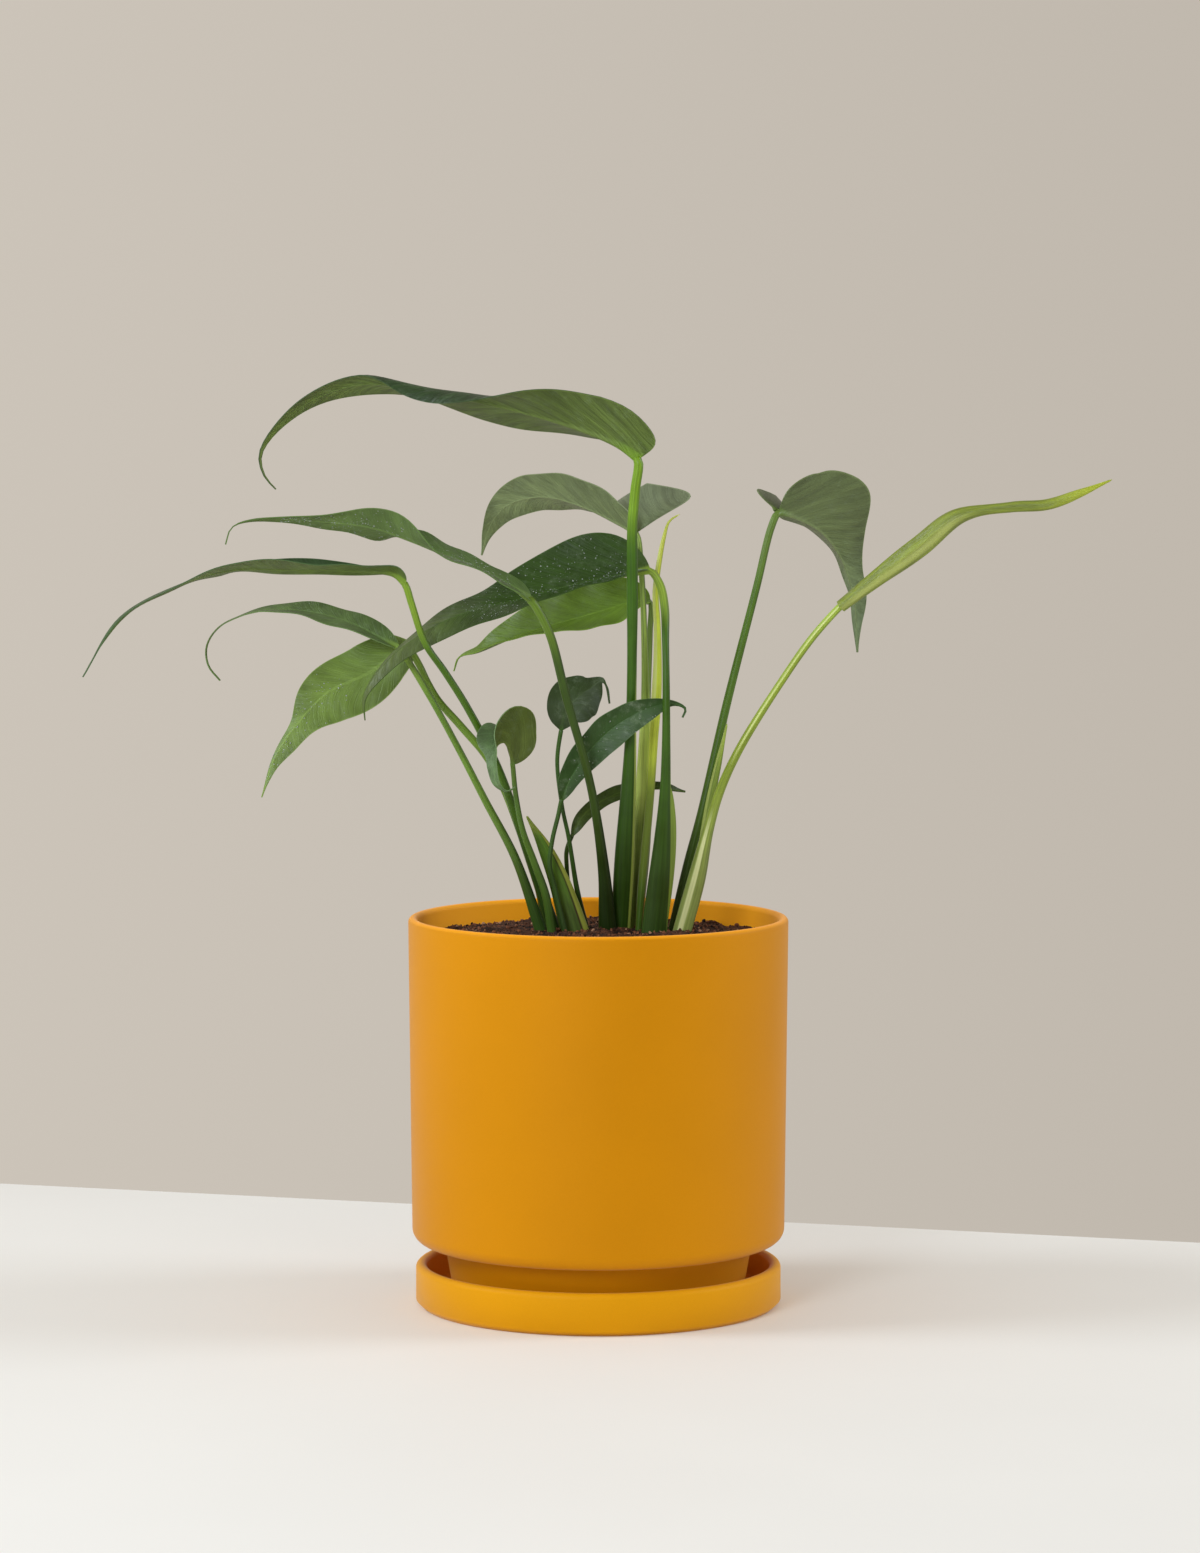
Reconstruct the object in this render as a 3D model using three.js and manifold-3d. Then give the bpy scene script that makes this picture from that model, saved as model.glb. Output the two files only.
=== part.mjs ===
// A potted Burle Marx flame monstera: a glazed cylinder pot with a foot, standing in its saucer,
// filled with soil, and a clump of fifteen narrow, arching leaves on sheathed petioles.
// Millimetres, +Z up. The origin is the middle of the saucer's underside, where the object stands.
// The leaves were measured from the front, so -Y is the side towards the viewer and +X the viewer's right.

import * as THREE from "three";
import { mergeVertices } from "three/addons/utils/BufferGeometryUtils.js";
import Module from "manifold-3d";

const wasm = await Module();
wasm.setup();

// Driving dimensions of the pot, the saucer and the soil
const POT_RADIUS = 101.6;
const POT_BASE_RADIUS = 99.9;
const POT_TOP = 208.5;
const POT_UNDERSIDE = 34;
const POT_CORNER = 7.5;
const WALL = 5.1;
const POT_FLOOR = 6;
const FOOT_RADIUS = 82.5;
const FOOT_TAPER = 4.5;
const FOOT_WALL = 7;
const FOOT_EDGE = 1.5;
const DRAIN_RADIUS = 6.5;
const SAUCER_RADIUS = 98;
const SAUCER_HEIGHT = 22.5;
const SAUCER_FLOOR = 6;
const SAUCER_WALL = 6.2;
const SAUCER_BEVEL = 3;
const SOIL_LEVEL = 196;
const SOIL_DOME = 3.5;
const SOIL_BUMP = 1.1;

// Shared allowances and mesh fineness
const GAP = 0.3;
const SEAT = 0.7;
const ROOT_DEPTH = 12;
const HOLE_GAP = 0.4;
const BLADE_THICKNESS = 0.9;
const TIP_WIDTH = 1.6;
const ROUND_STEPS = 40;
const ARC_STEPS = 4;
const ROW_BUNCHING = 1.35;
const STEP_BUNCHING = 1.2;
const SLIM_STEM = 2.5;

const POT_GLAZE = { color: 0xd3950f, roughness: 0.45, metalness: 0 };
const SOIL_BROWN = { color: 0x3a2a22, roughness: 1, metalness: 0 };
const LEAF_GREEN = { color: 0x35602c, roughness: 0.45, metalness: 0 };
const STALK_GREEN = { color: 0x52792b, roughness: 0.5, metalness: 0 };
const NEW_GREEN = { color: 0x9bb32e, roughness: 0.5, metalness: 0 };

// Where each petiole rises, how thick it is, and the blade on top of it.
//   stalk        points of the petiole's middle line, from the soil up
//   girth, flat  its half width along the way, and its depth as a share of that width
//   rib          points of the blade's midrib, from the petiole to the tip
//   face         the way the blade's upper side looks at its base
//   lobe         how far the left and right basal lobes reach back past the petiole
//   left, right  half widths of the blade at nine even stations from base to tip
//   *Rise        degrees that each half is raised towards the upper side at those stations
//   *Curl        degrees that each half bends over its width, towards the upper side when positive
//   rows, columns  mesh steps along the blade and across each half
const LEAVES = {
  leaf_01: {
    stalk: [[12, 14, 200], [14, 9, 238], [17, 1, 297], [18, -5, 356], [18, -9, 398], [18, -10, 417],
      [19.5, -10, 436]],
    girth: [5.2, 5.4, 4.2, 2.9, 2.6, 3, 2.7, 2.5],
    flat: [0.6, 0.6, 0.8, 1, 1, 1, 1, 1],
    rib: [[21, -10, 452], [11.5, -8, 459], [-1.5, -4, 465], [-32, 8, 475], [-80.5, 26, 486],
      [-128.5, 42, 492], [-161, 50, 480], [-178.5, 53.5, 464], [-183.5, 54, 453], [-181, 55, 442.5],
      [-175, 55, 435.5]],
    face: [0, 0, 1],
    lobe: [13, 5],
    left: [27, 23, 22, 20.5, 17.5, 12.5, 6.8, 2.4, 0.5],
    leftRise: [74, 60, 34, 45, 45, 50, 30, 10, 0],
    leftCurl: [0, 0, 0, -100, -135, -60, -20, 0, 0],
    right: [9, 18, 20, 18.5, 15.5, 11, 6, 2.2, 0.5],
    rightRise: [20, -7, -22, -31, -15, -25, -27, -30, 0],
    rows: 18,
    columns: 4,
  },
  leaf_02: {
    stalk: [[5, 8, 200], [3, 3, 232], [-4, -10, 279], [-17, -28, 328], [-25, -38, 360], [-31, -42, 373]],
    girth: [4.8, 3.2, 2.4, 2.2, 2.3, 2.3, 2.2],
    flat: [0.7, 0.8, 1, 1, 1, 1, 1],
    rib: [[-35, -44, 379], [-47, -49, 388], [-63, -56, 397], [-81.5, -64, 404.5], [-98, -71, 411.5],
      [-117, -78, 418], [-138.5, -85, 421], [-175, -97, 423], [-187, -101, 418.5], [-190, -102, 410]],
    face: [0, 0, 1],
    lobe: [3, 3],
    left: [8, 13, 15, 14.5, 12.3, 8.5, 4.5, 2, 0.5],
    leftRise: [-10, -15, -10, -5, 62, 45, 18, 0, 0],
    right: [8, 13, 14.5, 14, 11.5, 8, 4.5, 2, 0.5],
    rightRise: [60, 27, 26, 33, -25, -28, -33, -40, 0],
    rows: 16,
    columns: 3,
  },
  leaf_03: {
    stalk: [[-24, 20, 200], [-38, 12, 242], [-53, 0, 287], [-69, -10, 320], [-81, -17, 340],
      [-91.5, -22, 356], [-98, -28, 376]],
    girth: [3.6, 2.8, 2.3, 2.1, 2, 1.9, 1.8, 1.9],
    flat: [0.8, 1, 1, 1, 1, 1, 1, 1],
    rib: [[-101.5, -30, 387], [-107, -32, 392], [-118, -36, 394], [-137, -43, 395], [-164.5, -54, 395.5],
      [-187, -64, 396], [-215, -76, 389], [-246, -88, 372], [-264, -96, 342]],
    face: [0, 0, 1],
    lobe: [3, 3],
    left: [8, 13, 15, 14.5, 12, 8.5, 5.5, 3, 0.5],
    leftRise: [40, 15, 12, 20, 22, 10, 0, 0, 0],
    right: [9, 15, 18, 17, 12, 8.5, 5.5, 3, 0.5],
    rightRise: [0, -50, -50, -45, -12, -16, -26, -40, 0],
    rightCurl: [0, 130, 150, 130, 0, 0, 0, 0, 0],
    rows: 14,
    columns: 4,
  },
  leaf_04: {
    stalk: [[-31, 10, 200], [-44.5, 8, 239], [-60.5, 7, 270], [-74, 6, 296.5], [-90, 4, 326]],
    girth: [3.2, 2.4, 2, 1.8, 1.7, 1.7],
    flat: [0.7, 0.9, 1, 1, 1, 1],
    rib: [[-106, 2.5, 351.5], [-133.5, 14, 365], [-158, 26, 370.5], [-183.5, 38, 370], [-205.5, 50, 361.5],
      [-213.5, 57, 350], [-212.5, 58, 339.5], [-206, 56, 331.5]],
    face: [0, 0, 1],
    lobe: [2, 2],
    left: [5, 8, 8.8, 7.5, 5.6, 3.2, 1.6, 0.8, 0.5],
    leftRise: [-10, -5, -23, -14, -10, -10, -30, -30, 0],
    right: [5, 8.6, 8.8, 7.5, 5.6, 3.2, 1.6, 0.8, 0.5],
    rightRise: [50, 47, 31, 45, 34, 23, 0, 0, 0],
    rows: 14,
    columns: 2,
  },
  leaf_05: {
    stalk: [[-27, 29, 200], [-33, 26, 226], [-42, 22, 252], [-51, 18, 276], [-60.5, 16, 293.5],
      [-74, 17, 309.5], [-86, 19, 323], [-92, 21, 333], [-96, 21, 341.5]],
    girth: [3.4, 2.8, 2.4, 2.2, 2.1, 2, 2.1, 2, 1.9, 1.9],
    flat: [0.8, 1, 1, 1, 1, 1, 1, 1, 1, 1],
    rib: [[-101, 16, 349.5], [-106, 15.5, 349.5], [-123, 12, 338], [-144.5, 6, 328], [-160, -1, 312],
      [-172, -6, 294], [-179, -9, 273]],
    face: [0, 0, 1],
    lobe: [5, 5],
    left: [11, 14, 18, 19, 16, 9.5, 7, 2.6, 0.5],
    leftRise: [-20, -62, -68, -70, -67, -62, -70, -65, 0],
    right: [12, 16, 17, 15.5, 12, 5, 2.5, 1.2, 0.5],
    rightRise: [40, 62, 64, 63, 66, 40, 30, 30, 0],
    rows: 14,
    columns: 3,
  },
  leaf_06: {
    stalk: [[30, 4, 200], [34, 0, 243.5], [35.6, -8, 276.5], [36, -13, 303], [36, -13, 330],
      [35.7, -7, 356], [35.3, 4, 374], [32.7, 12.5, 386]],
    girth: [6.9, 6.1, 4.6, 3, 2.3, 2, 1.9, 2.3, 2],
    flat: [0.5, 0.6, 0.8, 1, 1, 1, 1, 1, 1],
    rib: [[28, 14, 392.5], [0, 12, 388], [-21.5, 8, 383], [-45, 3, 377], [-69, -3, 371.5],
      [-93, -9, 360.5], [-113.5, -13, 344], [-124, -16, 326.5], [-123.5, -17, 314.5]],
    face: [0, 0, 1],
    lobe: [3, 4],
    left: [8, 18, 20, 19, 15, 11, 7.5, 5, 0.5],
    leftRise: [20, -2, -3, -10, -26, -44, -53, -35, 0],
    right: [16, 26, 25, 20, 15, 11, 7.5, 4, 0.5],
    rightRise: [70, 70, 61, 47, 27, 21, 3, 4, 0],
    rows: 16,
    columns: 3,
  },
  leaf_07: {
    stalk: [[22, 36, 200], [25, 38, 267], [27, 38, 327], [27.9, 37, 359]],
    girth: [2.6, 2.2, 1.6, 1.5, 1.6],
    flat: [0.8, 1, 1, 1, 1],
    rib: [[28, 36, 375], [20, 37, 375], [-4, 43, 368], [-24.5, 49, 362], [-43.5, 55, 356], [-65.5, 61, 346.5],
      [-76, 65, 343.5], [-79, 66, 336]],
    face: [0, 0, 1],
    lobe: [3, 3],
    left: [9, 14, 15, 13, 10, 7, 4, 2, 0.5],
    leftRise: [0, -35, -29, -24, -14, -11, 8, 10, 0],
    right: [9, 16.5, 18, 17.5, 16.5, 13, 9, 5.5, 0.5],
    rightRise: [60, 69, 68, 70, 69, 69, 60, 30, 0],
    rows: 12,
    columns: 3,
  },
  leaf_08: {
    stalk: [[20, 24, 200], [23.5, 24, 252], [25.3, 24, 302], [24.8, 24, 354.5], [23.2, 25, 391]],
    girth: [3.8, 5, 4.2, 2.2, 1.6, 1.6],
    flat: [0.6, 0.6, 0.7, 1, 1, 1],
    rib: [[20.5, 26.5, 412], [-6, 36, 425.5], [-30, 50, 431.5], [-50.5, 66, 426], [-60.5, 76, 412.5],
      [-64, 79, 399]],
    face: [0, 0, 1],
    lobe: [4, 20],
    left: [14, 17, 18, 17, 14.5, 12, 8, 3.5, 0.5],
    leftRise: [40, 50, 56, 57, 55, 62, 55, 25, 0],
    right: [54, 29, 21, 17, 13, 10, 8, 4.5, 0.5],
    rightRise: [72, 44, 0, -15, -28, -43, -50, -25, 0],
    rows: 14,
    columns: 3,
  },
  leaf_09: {
    stalk: [[21.5, 15, 200], [24, 17, 231], [27.5, 17, 269], [29.5, 16.5, 301], [31, 17, 323.5],
      [31.7, 18, 343], [31.5, 19, 363], [30.7, 20, 382], [32.7, 20, 398], [35.3, 20, 411],
      [38, 20, 419], [44, 20, 423]],
    girth: [1.8, 2.4, 2.5, 2.4, 2.5, 2.65, 2.9, 2.4, 2, 1.7, 1.3, 0.4],
    flat: [1, 1],
  },
  leaf_10: {
    stalk: [[41, 20, 200], [48.4, 19, 234], [55.4, 18, 261], [69, 20, 321], [85, 22, 384],
      [92.7, 24, 415.5]],
    girth: [3.2, 2.8, 2.5, 2.3, 2.1, 2, 2],
    flat: [0.8, 1, 1, 1, 1, 1, 1],
    rib: [[96.5, 25.5, 423.5], [106.5, 36, 420.5], [122.5, 56, 411], [134, 72, 395], [140.5, 80, 374],
      [142.5, 83, 345.5]],
    face: [0, 0, 1],
    lobe: [19, 6],
    left: [12, 20, 24, 20, 13, 9, 6, 3, 0.5],
    leftRise: [72, 34, 12, 18, 30, 30, 30, 15, 0],
    right: [18, 28, 34, 34, 19.5, 9.5, 7.2, 3, 0.5],
    rightRise: [60, 66, 65, 60, 62, 60, 45, 20, 0],
    rows: 14,
    columns: 3,
  },
  leaf_11: {
    stalk: [[45, 8, 200], [52.5, 6, 227.5], [58.8, 3, 255], [65, 0, 276], [75.7, -4, 299.5],
      [99, -10, 337.5], [113.5, -14, 358.5]],
    girth: [5, 4.8, 3, 2.4, 2.2, 2, 2, 1.9],
    flat: [0.6, 0.6, 1, 1, 1, 1, 1, 1],
    roll: [[128, -17, 375], [146.5, -22, 390], [168.5, -29, 407], [188.5, -36, 423], [215.5, -44, 428],
      [234, -50, 429.5], [250.5, -55, 435.5], [266.5, -60, 442.5]],
    rollGirth: [3.6, 4.8, 6.2, 5.7, 3.1, 3.2, 2.8, 0.5],
  },
  leaf_12: {
    stalk: [[-18, 7, 200], [-23.5, 7, 223.5], [-26, 6, 235], [-24.6, 5, 249], [-21.5, 4, 262]],
    girth: [1.7, 1.4, 1.3, 1.2, 1.2, 1.2],
    flat: [1, 1],
    rib: [[-19.8, 2, 270], [-15, -2, 282.5], [-2.7, -6, 300], [10.5, -8, 312], [26.5, -8, 320.5],
      [40, -7, 323], [46.3, -7, 320], [44.7, -8, 315.5]],
    face: [0, -1, 0],
    lobe: [1, 1],
    left: [3, 6, 8.5, 9, 9.8, 8.5, 5.5, 1.5, 0.5],
    leftRise: [20],
    right: [3, 5.2, 7.6, 9.5, 10, 8.7, 6.2, 1.5, 0.5],
    rightRise: [20],
    rows: 14,
    columns: 2,
  },
  leaf_13: {
    stalk: [[-14, 30, 200], [-17, 24, 232], [-17, 19.5, 242]],
    girth: [1.5, 1.2, 1.2, 1.2],
    flat: [1, 1],
    rib: [[-14.5, 16.5, 249.5], [-9, 20, 260], [2.7, 27, 268.5], [19, 31, 274.5], [32.5, 31, 275.5],
      [43, 30, 273.5], [47, 29, 273]],
    face: [0, -1, 0],
    lobe: [1, 1],
    left: [1.6, 3, 3.6, 4.2, 4.5, 3.2, 2.8, 2.6, 0.5],
    leftRise: [10],
    right: [1.6, 3.8, 4.2, 3.8, 3.8, 3.6, 2, 1.2, 0.5],
    rightRise: [10],
    rows: 10,
    columns: 2,
  },
  leaf_14: {
    stalk: [[-6.5, 24, 200], [-11.3, 20, 220], [-16, 13, 250], [-19.3, 10, 266], [-22, 9, 291]],
    girth: [1.6, 1.4, 1.2, 1.1, 1.1, 1.2],
    flat: [1, 1],
    rib: [[-20, 8, 307], [-18, 6, 316.5], [-11.5, 5, 325], [-4, 4.5, 330.5], [2, 4, 334.5],
      [4.5, 1.5, 331], [6, -1, 322.5]],
    face: [0, -1, 0],
    lobe: [0.5, 0.5],
    left: [1.5, 7.5, 12.5, 15, 13, 6.5, 1, 0.8, 0.5],
    leftRise: [10, 0, -10, -35, -45, -45, -20, 0, 0],
    right: [1.5, 7, 12, 13.5, 13, 7, 1, 0.8, 0.5],
    rightRise: [15, 20, 22, 22, 22, 15, 0, 0, 0],
    rows: 14,
    columns: 2,
  },
  leaf_15: {
    stalk: [[-25, 4, 200], [-28, 3, 219], [-34.5, 1, 238], [-40.5, -3, 255.5], [-44, -6, 274.5]],
    girth: [2.4, 2.2, 1.9, 1.6, 1.4, 1.3],
    flat: [1, 1],
    rib: [[-45.5, -10, 290.5], [-47, -13, 298], [-50, -17.5, 303], [-53.5, -22, 301.5], [-55, -25.5, 294.5],
      [-55, -27, 287], [-53, -27, 281], [-48.5, -25, 277.5], [-44, -23, 279.5]],
    face: [0.6, 0.8, 0],
    lobe: [2, 2],
    left: [6, 16.5, 22.5, 13, 5, 3.5, 2.5, 0.8, 0.5],
    leftRise: [54, 68, 76, 74, 50, 30, 20, 0, 0],
    right: [5, 10, 15, 13, 5.5, 3.5, 2.5, 0.8, 0.5],
    rightRise: [40, 44, 42, 30, 20, 10, 0, 0, 0],
    rows: 16,
    columns: 3,
  },
};

// Papery sheaths that stand free of the petioles: middle line, half width and depth, as above
const SHEATHS = {
  sheath_left: {
    stalk: [[-13, 15, 200], [-21.5, 15, 227], [-29.5, 13, 245.5], [-38.5, 11, 261.5]],
    girth: [7.5, 6, 4, 0.6],
    flat: [0.35],
  },
  sheath_right: {
    stalk: [[46, 14, 200], [50.5, 14, 221.5], [55, 13.5, 238], [60, 13, 269], [64.7, 13, 291],
      [69, 13.5, 311]],
    girth: [3.5, 3.2, 2.8, 2.4, 1.8, 0.5],
    flat: [0.4],
  },
};

const radians = THREE.MathUtils.degToRad;

// A smooth value at t, from 0 to 1, through values that are spaced evenly.
function valueAt(values, t) {
  if (values.length === 1) return values[0];
  const x = THREE.MathUtils.clamp(t, 0, 1) * (values.length - 1);
  const i = Math.min(Math.floor(x), values.length - 2);
  const f = x - i;
  const a = values[Math.max(i - 1, 0)];
  const b = values[i];
  const c = values[i + 1];
  const d = values[Math.min(i + 2, values.length - 1)];
  return b + 0.5 * f * (c - a + f * (2 * a - 5 * b + 4 * c - d + f * (3 * (b - c) + d - a)));
}

// A curve through points, with the direction of the upper side carried along it without twisting.
class Spine {
  constructor(points, face, steps = 120) {
    this.curve = new THREE.CatmullRomCurve3(points.map((p) => new THREE.Vector3(...p)), false, "centripetal");
    this.curve.arcLengthDivisions = 400;
    this.length = this.curve.getLength();
    this.steps = steps;
    this.normals = [];
    const normal = new THREE.Vector3(...face);
    for (let i = 0; i <= steps; i++) {
      normal.addScaledVector(this.tangent(i / steps), -normal.dot(this.tangent(i / steps))).normalize();
      this.normals.push(normal.clone());
    }
  }

  tangent(t) {
    return this.curve.getTangentAt(THREE.MathUtils.clamp(t, 0, 1));
  }

  // A place on the curve, or on its straight lengthening behind the start.
  point(t) {
    const start = Math.min(t, 0) * this.length;
    return this.curve.getPointAt(THREE.MathUtils.clamp(t, 0, 1)).addScaledVector(this.tangent(0), start);
  }

  normal(t) {
    const x = THREE.MathUtils.clamp(t, 0, 1) * this.steps;
    const i = Math.min(Math.floor(x), this.steps - 1);
    return this.normals[i].clone().lerp(this.normals[i + 1], x - i).normalize();
  }

  across(t) {
    return this.tangent(t).cross(this.normal(t)).normalize();
  }
}

// A closed solid from its corner points and the three corners of each triangle.
function solidGeometry(points, triangles) {
  const geometry = new THREE.BufferGeometry();
  const numbers = points.flatMap((p) => [p.x, p.y, p.z]);
  geometry.setAttribute("position", new THREE.Float32BufferAttribute(numbers, 3));
  geometry.setIndex(triangles.flat());
  return geometry;
}

// A blade opens over this share of its length, from a neck of this half width
const BASE_SHARE = 0.11;
const NECK_WIDTH = 2;
const BASE_ROUNDNESS = 0.75;

// How far along and across its leaf a point of the blade lies, for a row u and a share q of the half's width.
function flatPlace(leaf, side, u, q, length) {
  const base = Math.min(u / BASE_SHARE, 1);
  const open = Math.sin((base * Math.PI) / 2) ** BASE_ROUNDNESS;
  const back = leaf.lobe[side === "left" ? 0 : 1] * Math.sin(Math.PI * base ** 0.9);
  const width = Math.max(valueAt(leaf[side], u) * open, NECK_WIDTH * (1 - base), TIP_WIDTH / 2);
  return { along: u * length - back * q ** 1.5, width };
}

// A point of the blade's middle surface. Each half is an arc that leaves the midrib at its rise.
function bladePoint(leaf, spine, side, u, q) {
  const { along, width } = flatPlace(leaf, side, u, q, spine.length);
  const rise = radians(valueAt(leaf[side + "Rise"], u));
  const curl = radians(valueAt(leaf[side + "Curl"] ?? [0], u)) * q;
  const reach = width * q;
  let out = reach * Math.cos(rise);
  let up = reach * Math.sin(rise);
  if (Math.abs(curl) > 1e-4) {
    out = (reach * (Math.sin(rise + curl) - Math.sin(rise))) / curl;
    up = (reach * (Math.cos(rise) - Math.cos(rise + curl))) / curl;
  }
  const hand = side === "left" ? -1 : 1;
  return spine
    .point(along / spine.length)
    .addScaledVector(spine.across(u), hand * out)
    .addScaledVector(spine.normal(u), up);
}

// The blade as a thin solid, with the same triangles on its upper and lower face.
function bladeGeometry(leaf) {
  const spine = new Spine(leaf.rib, leaf.face);
  const wide = 2 * leaf.columns;
  const middle = [];
  for (let i = 0; i <= leaf.rows; i++) {
    const u = (i / leaf.rows) ** ROW_BUNCHING;
    for (let j = -leaf.columns; j <= leaf.columns; j++) {
      middle.push(bladePoint(leaf, spine, j < 0 ? "left" : "right", u, Math.abs(j) / leaf.columns));
    }
  }
  const sheet = [];
  for (let i = 0; i < leaf.rows; i++) {
    for (let j = 0; j < wide; j++) {
      const a = i * (wide + 1) + j;
      const b = a + wide + 1;
      if (j < leaf.columns) sheet.push([a, a + 1, b + 1], [a, b + 1, b]);
      else sheet.push([a, a + 1, b], [a + 1, b + 1, b]);
    }
  }
  const surface = solidGeometry(middle, sheet);
  surface.computeVertexNormals();
  const normal = surface.getAttribute("normal");
  const half = BLADE_THICKNESS / 2;
  const shifted = (way) =>
    middle.map((p, k) => p.clone().addScaledVector(new THREE.Vector3().fromBufferAttribute(normal, k), way));
  const under = middle.length;
  const edge = [];
  for (let j = 0; j < wide; j++) edge.push(j);
  for (let i = 0; i < leaf.rows; i++) edge.push(i * (wide + 1) + wide);
  for (let j = wide; j > 0; j--) edge.push(leaf.rows * (wide + 1) + j);
  for (let i = leaf.rows; i > 0; i--) edge.push(i * (wide + 1));
  const rim = edge.flatMap((a, k) => {
    const b = edge[(k + 1) % edge.length];
    return [[a, a + under, b + under], [a, b + under, b]];
  });
  const lower = sheet.map(([a, b, c]) => [a + under, c + under, b + under]);
  return solidGeometry([...shifted(half), ...shifted(-half)], [...sheet, ...lower, ...rim]);
}

// A round or flattened tube with closed ends, its first stretch buried and its steps closer at the top.
// Its depth is turned towards the viewer all the way, and extra widens it into the cutter of its hole.
function stalkGeometry(points, girth, flat, { sides = 8, steps = 12, buried = 0, extra = 0 } = {}) {
  const spine = new Spine(points, [0, -1, 0]);
  const corners = [];
  const triangles = [];
  for (let i = 0; i <= steps; i++) {
    const t = 1 - (1 - i / steps) ** STEP_BUNCHING;
    const station = (t * spine.length - buried) / (spine.length - buried);
    const wide = valueAt(girth, station) + extra;
    const deep = valueAt(girth, station) * valueAt(flat, station) + extra;
    const tangent = spine.tangent(t);
    const side = new THREE.Vector3(0, 1, 0).cross(tangent).normalize();
    const depth = tangent.clone().cross(side);
    for (let k = 0; k < sides; k++) {
      const angle = (2 * Math.PI * k) / sides;
      const corner = spine.point(t).addScaledVector(side, wide * Math.cos(angle));
      corners.push(corner.addScaledVector(depth, deep * Math.sin(angle)));
    }
  }
  for (let i = 0; i < steps; i++) {
    for (let k = 0; k < sides; k++) {
      const a = i * sides + k;
      const b = i * sides + ((k + 1) % sides);
      triangles.push([a, b, b + sides], [a, b + sides, a + sides]);
    }
  }
  const last = steps * sides;
  for (let k = 1; k < sides - 1; k++) {
    triangles.push([0, k + 1, k], [last, last + k, last + k + 1]);
  }
  return solidGeometry(corners, triangles);
}

// The point a distance past the second of two points, on the line from the first to the second.
function beyond(from, to, distance) {
  const [a, b] = [new THREE.Vector3(...from), new THREE.Vector3(...to)];
  return b.addScaledVector(b.clone().sub(a).normalize(), distance).toArray();
}

// A petiole's middle line, from its root in the soil up to just short of the blade's base.
function stalkLine(leaf, depth) {
  const blade = leaf.rib ?? leaf.roll;
  const line = [beyond(leaf.stalk[1], leaf.stalk[0], depth), ...leaf.stalk];
  if (blade) line.push(beyond(leaf.stalk.at(-1), blade[0], -SEAT));
  return line;
}

// The cutter of the hole that a stem stands in, a little wider and deeper than the stem.
function holeGeometry(stem, shape) {
  const line = stalkLine(stem, ROOT_DEPTH + HOLE_GAP);
  return stalkGeometry(line, stem.girth, stem.flat, { ...shape, extra: HOLE_GAP });
}

// An arc of a lathe profile round a centre, from one angle to another in degrees.
function arc(x, z, radius, from, to) {
  return Array.from({ length: ARC_STEPS + 1 }, (_, i) => {
    const angle = radians(from + ((to - from) * i) / ARC_STEPS);
    return [x + radius * Math.cos(angle), z + radius * Math.sin(angle)];
  });
}

// A solid of revolution about Z, from a profile of [radius, height] that runs anticlockwise.
function turned(profile) {
  const outline = profile.map(([radius, height]) => new THREE.Vector2(radius, height));
  return new THREE.LatheGeometry(outline, ROUND_STEPS).rotateX(Math.PI / 2);
}

function toSolid(geometry) {
  const bare = geometry.clone();
  bare.deleteAttribute("normal");
  bare.deleteAttribute("uv");
  const merged = mergeVertices(bare, 1e-4);
  const vertProperties = merged.getAttribute("position").array;
  const triVerts = new Uint32Array(merged.index.array);
  return new wasm.Manifold(new wasm.Mesh({ numProp: 3, vertProperties, triVerts }));
}

function toGeometry(solid) {
  const mesh = solid.getMesh();
  const geometry = new THREE.BufferGeometry();
  geometry.setAttribute("position", new THREE.Float32BufferAttribute(mesh.vertProperties, 3));
  geometry.setIndex([...mesh.triVerts]);
  return geometry;
}

// Inner radius of the pot's slightly widening wall at a height.
function potInside(z) {
  return THREE.MathUtils.mapLinear(z, POT_UNDERSIDE, POT_TOP, POT_BASE_RADIUS, POT_RADIUS) - WALL;
}

function potGeometry() {
  const lip = WALL / 2;
  const floor = POT_UNDERSIDE + POT_FLOOR;
  const corner = floor + POT_CORNER;
  const foot = SAUCER_FLOOR + GAP;
  const footBottom = FOOT_RADIUS - FOOT_TAPER;
  const profile = [
    [DRAIN_RADIUS, POT_UNDERSIDE],
    [footBottom - FOOT_WALL, POT_UNDERSIDE],
    [footBottom - FOOT_WALL, foot],
    [footBottom - FOOT_EDGE, foot],
    [footBottom, foot + FOOT_EDGE],
    [FOOT_RADIUS, POT_UNDERSIDE],
    ...arc(POT_BASE_RADIUS - POT_CORNER, POT_UNDERSIDE + POT_CORNER, POT_CORNER, -90, 0),
    ...arc(POT_RADIUS - lip, POT_TOP - lip, lip, 0, 180),
    [potInside(corner), corner],
    [potInside(corner) - POT_CORNER, floor],
    [DRAIN_RADIUS, floor],
    [DRAIN_RADIUS, POT_UNDERSIDE],
  ];
  return turned(profile);
}

function saucerGeometry() {
  const lip = SAUCER_WALL / 2;
  const inside = SAUCER_RADIUS - SAUCER_WALL;
  return turned([
    [0, 0],
    [SAUCER_RADIUS - SAUCER_BEVEL, 0],
    [SAUCER_RADIUS, SAUCER_BEVEL],
    ...arc(SAUCER_RADIUS - lip, SAUCER_HEIGHT - lip, lip, 0, 180),
    [inside, SAUCER_FLOOR + 3],
    [inside - 3, SAUCER_FLOOR],
    [0, SAUCER_FLOOR],
  ]);
}

// Height of the soil's crumbly top at a place.
function soilHeight(x, y) {
  const r = Math.hypot(x, y) / POT_RADIUS;
  const crumbs = Math.sin(x * 0.31 + 1) * Math.cos(y * 0.27) + Math.sin(x * 0.13 - y * 0.21 + 2);
  return SOIL_LEVEL + SOIL_DOME * (1 - r * r) + SOIL_BUMP * crumbs;
}

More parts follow.
